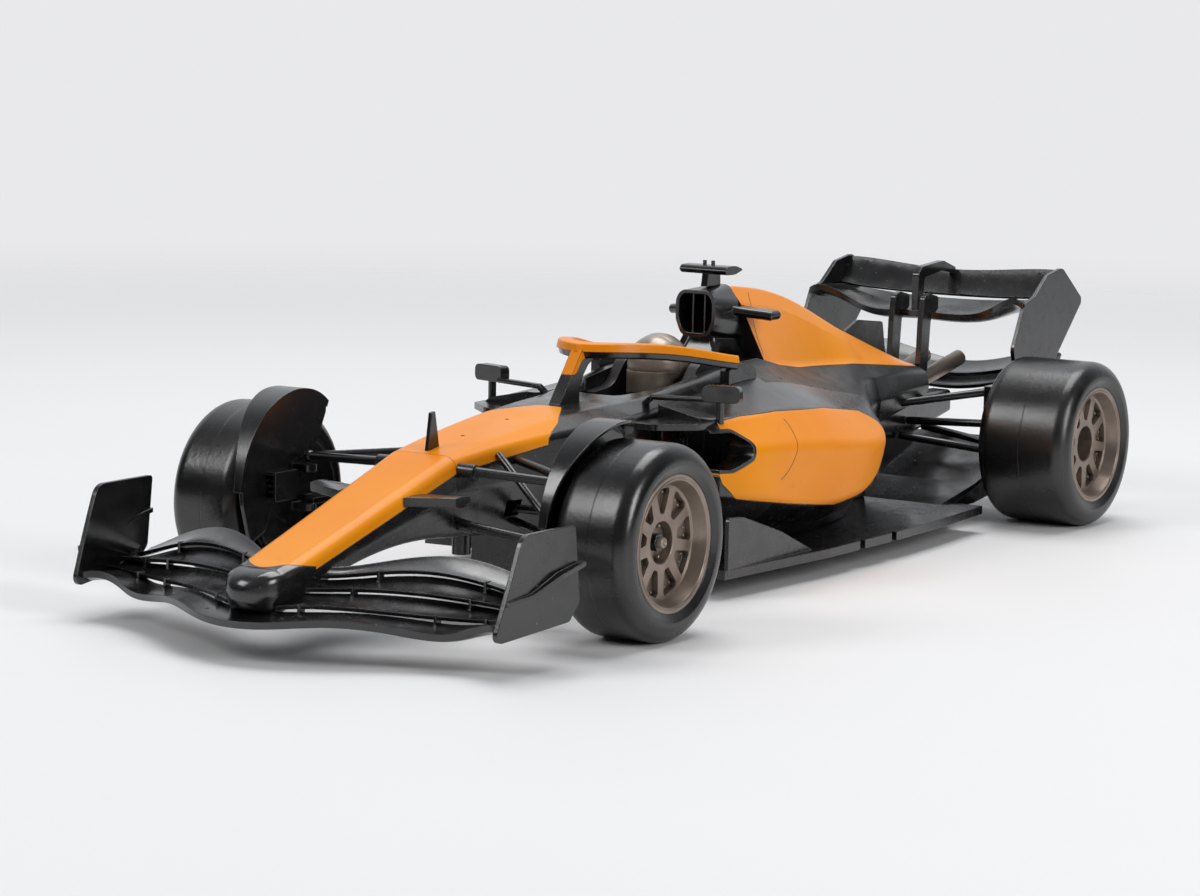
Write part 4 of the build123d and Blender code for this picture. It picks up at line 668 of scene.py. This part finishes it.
def add_stage():
    """Pale floor under the car that passes into an even pale backdrop."""
    segments = 64
    angles = [2 * math.pi * i / segments for i in range(segments)]
    verts = [(FLOOR_SIZE * math.cos(t), FLOOR_SIZE * math.sin(t), 0) for t in angles]
    mesh = bpy.data.meshes.new("floor")
    mesh.from_pydata(verts, [], [tuple(range(segments))])
    obj = bpy.data.objects.new("floor", mesh)
    bpy.context.scene.collection.objects.link(obj)
    m = Nodes("studio_floor")
    base = m.mix(m.ramp(m.noise(3, 3), 0.3, 0.7), (0.805, 0.805, 0.810), (0.825, 0.825, 0.830))
    m.set(Base_Color=base, Roughness=m.ramp(m.noise(9, 3), 0.3, 0.7, 0.55, 0.65), Specular_IOR_Level=0.25)
    m.bump(m.noise(60, 3), 0.03, 0.0005)
    length = m.new("ShaderNodeVectorMath")
    length.operation = "LENGTH"
    m.link(m.coords, length.inputs[0])
    seen = m.new("ShaderNodeLightPath").outputs["Is Camera Ray"]
    fade = m.math("MULTIPLY", m.ramp(length.outputs["Value"], *FLOOR_FADE), seen)
    blend = m.new("ShaderNodeMixShader")
    m.link(fade, blend.inputs["Fac"])
    m.link(m.shader.outputs["BSDF"], blend.inputs[1])
    m.link(m.new("ShaderNodeBsdfTransparent").outputs["BSDF"], blend.inputs[2])
    m.link(blend.outputs["Shader"], m.tree.nodes["Material Output"].inputs["Surface"])
    mesh.materials.append(m.material)


LAMPS = (
    # name, place and target in metres, size, power in watts
    ("lamp_top", (-0.05, 0.30, 1.05), (0, 0, 0), (0.7, 0.7), 7.0),
    ("lamp_key", (-0.60, -0.95, 0.85), (0, 0, 0.02), (0.5, 0.5), 5.0),
    ("lamp_right", (1.15, -0.20, 0.55), (0, 0, 0.02), (0.40, 0.6), 6.0),
)


def add_lamp(name, at, target, size, power):
    """Soft rectangular lamp that faces its target."""
    data = bpy.data.lights.new(name, "AREA")
    data.shape = "RECTANGLE"
    data.size, data.size_y = size
    data.energy = power
    obj = bpy.data.objects.new(name, data)
    obj.location = at
    obj.rotation_euler = (Vector(target) - Vector(at)).to_track_quat("-Z", "Y").to_euler()
    bpy.context.scene.collection.objects.link(obj)


def add_world():
    """Room light: dim on the camera's side, brighter overhead and where the paper sweep stands behind the
    car. The camera itself sees the even paper."""
    world = bpy.data.worlds.new("studio")
    world.use_nodes = True
    tree = world.node_tree
    new, link = tree.nodes.new, tree.links.new
    room, paper, mix = tree.nodes["Background"], new("ShaderNodeBackground"), new("ShaderNodeMixShader")
    room.inputs["Color"].default_value = (*ROOM, 1.0)
    paper.inputs["Color"].default_value = (*PAPER, 1.0)
    direction = new("ShaderNodeTexCoord").outputs["Generated"]
    total = None
    for axis, low, high, strength in WORLD_LOBES:
        dot = new("ShaderNodeVectorMath")
        dot.operation = "DOT_PRODUCT"
        dot.inputs[1].default_value = axis
        link(direction, dot.inputs[0])
        level = new("ShaderNodeMapRange")
        level.interpolation_type = "SMOOTHSTEP"
        for key, value in (("From Min", low), ("From Max", high), ("To Min", 0.0), ("To Max", strength)):
            level.inputs[key].default_value = value
        link(dot.outputs["Value"], level.inputs["Value"])
        add = new("ShaderNodeMath")
        add.operation = "ADD"
        add.inputs[1].default_value = WORLD_BASE
        link(level.outputs["Result"], add.inputs[0])
        if total:
            link(total, add.inputs[1])
        total = add.outputs[0]
    link(total, room.inputs["Strength"])
    link(new("ShaderNodeLightPath").outputs["Is Camera Ray"], mix.inputs["Fac"])
    link(room.outputs["Background"], mix.inputs[1])
    link(paper.outputs["Background"], mix.inputs[2])
    link(mix.outputs["Shader"], tree.nodes["World Output"].inputs["Surface"])
    bpy.context.scene.world = world


def add_lights():
    """Three soft lamps in a dim room."""
    for lamp in LAMPS:
        add_lamp(*lamp)
    add_world()


add_camera()
paint_frame()
add_seams()
add_fittings()
add_wheel_trim()
add_nose_cap()
add_plates()
add_small_pieces()
add_stage()
add_lights()
bpy.context.scene.view_settings.view_transform = "Standard"
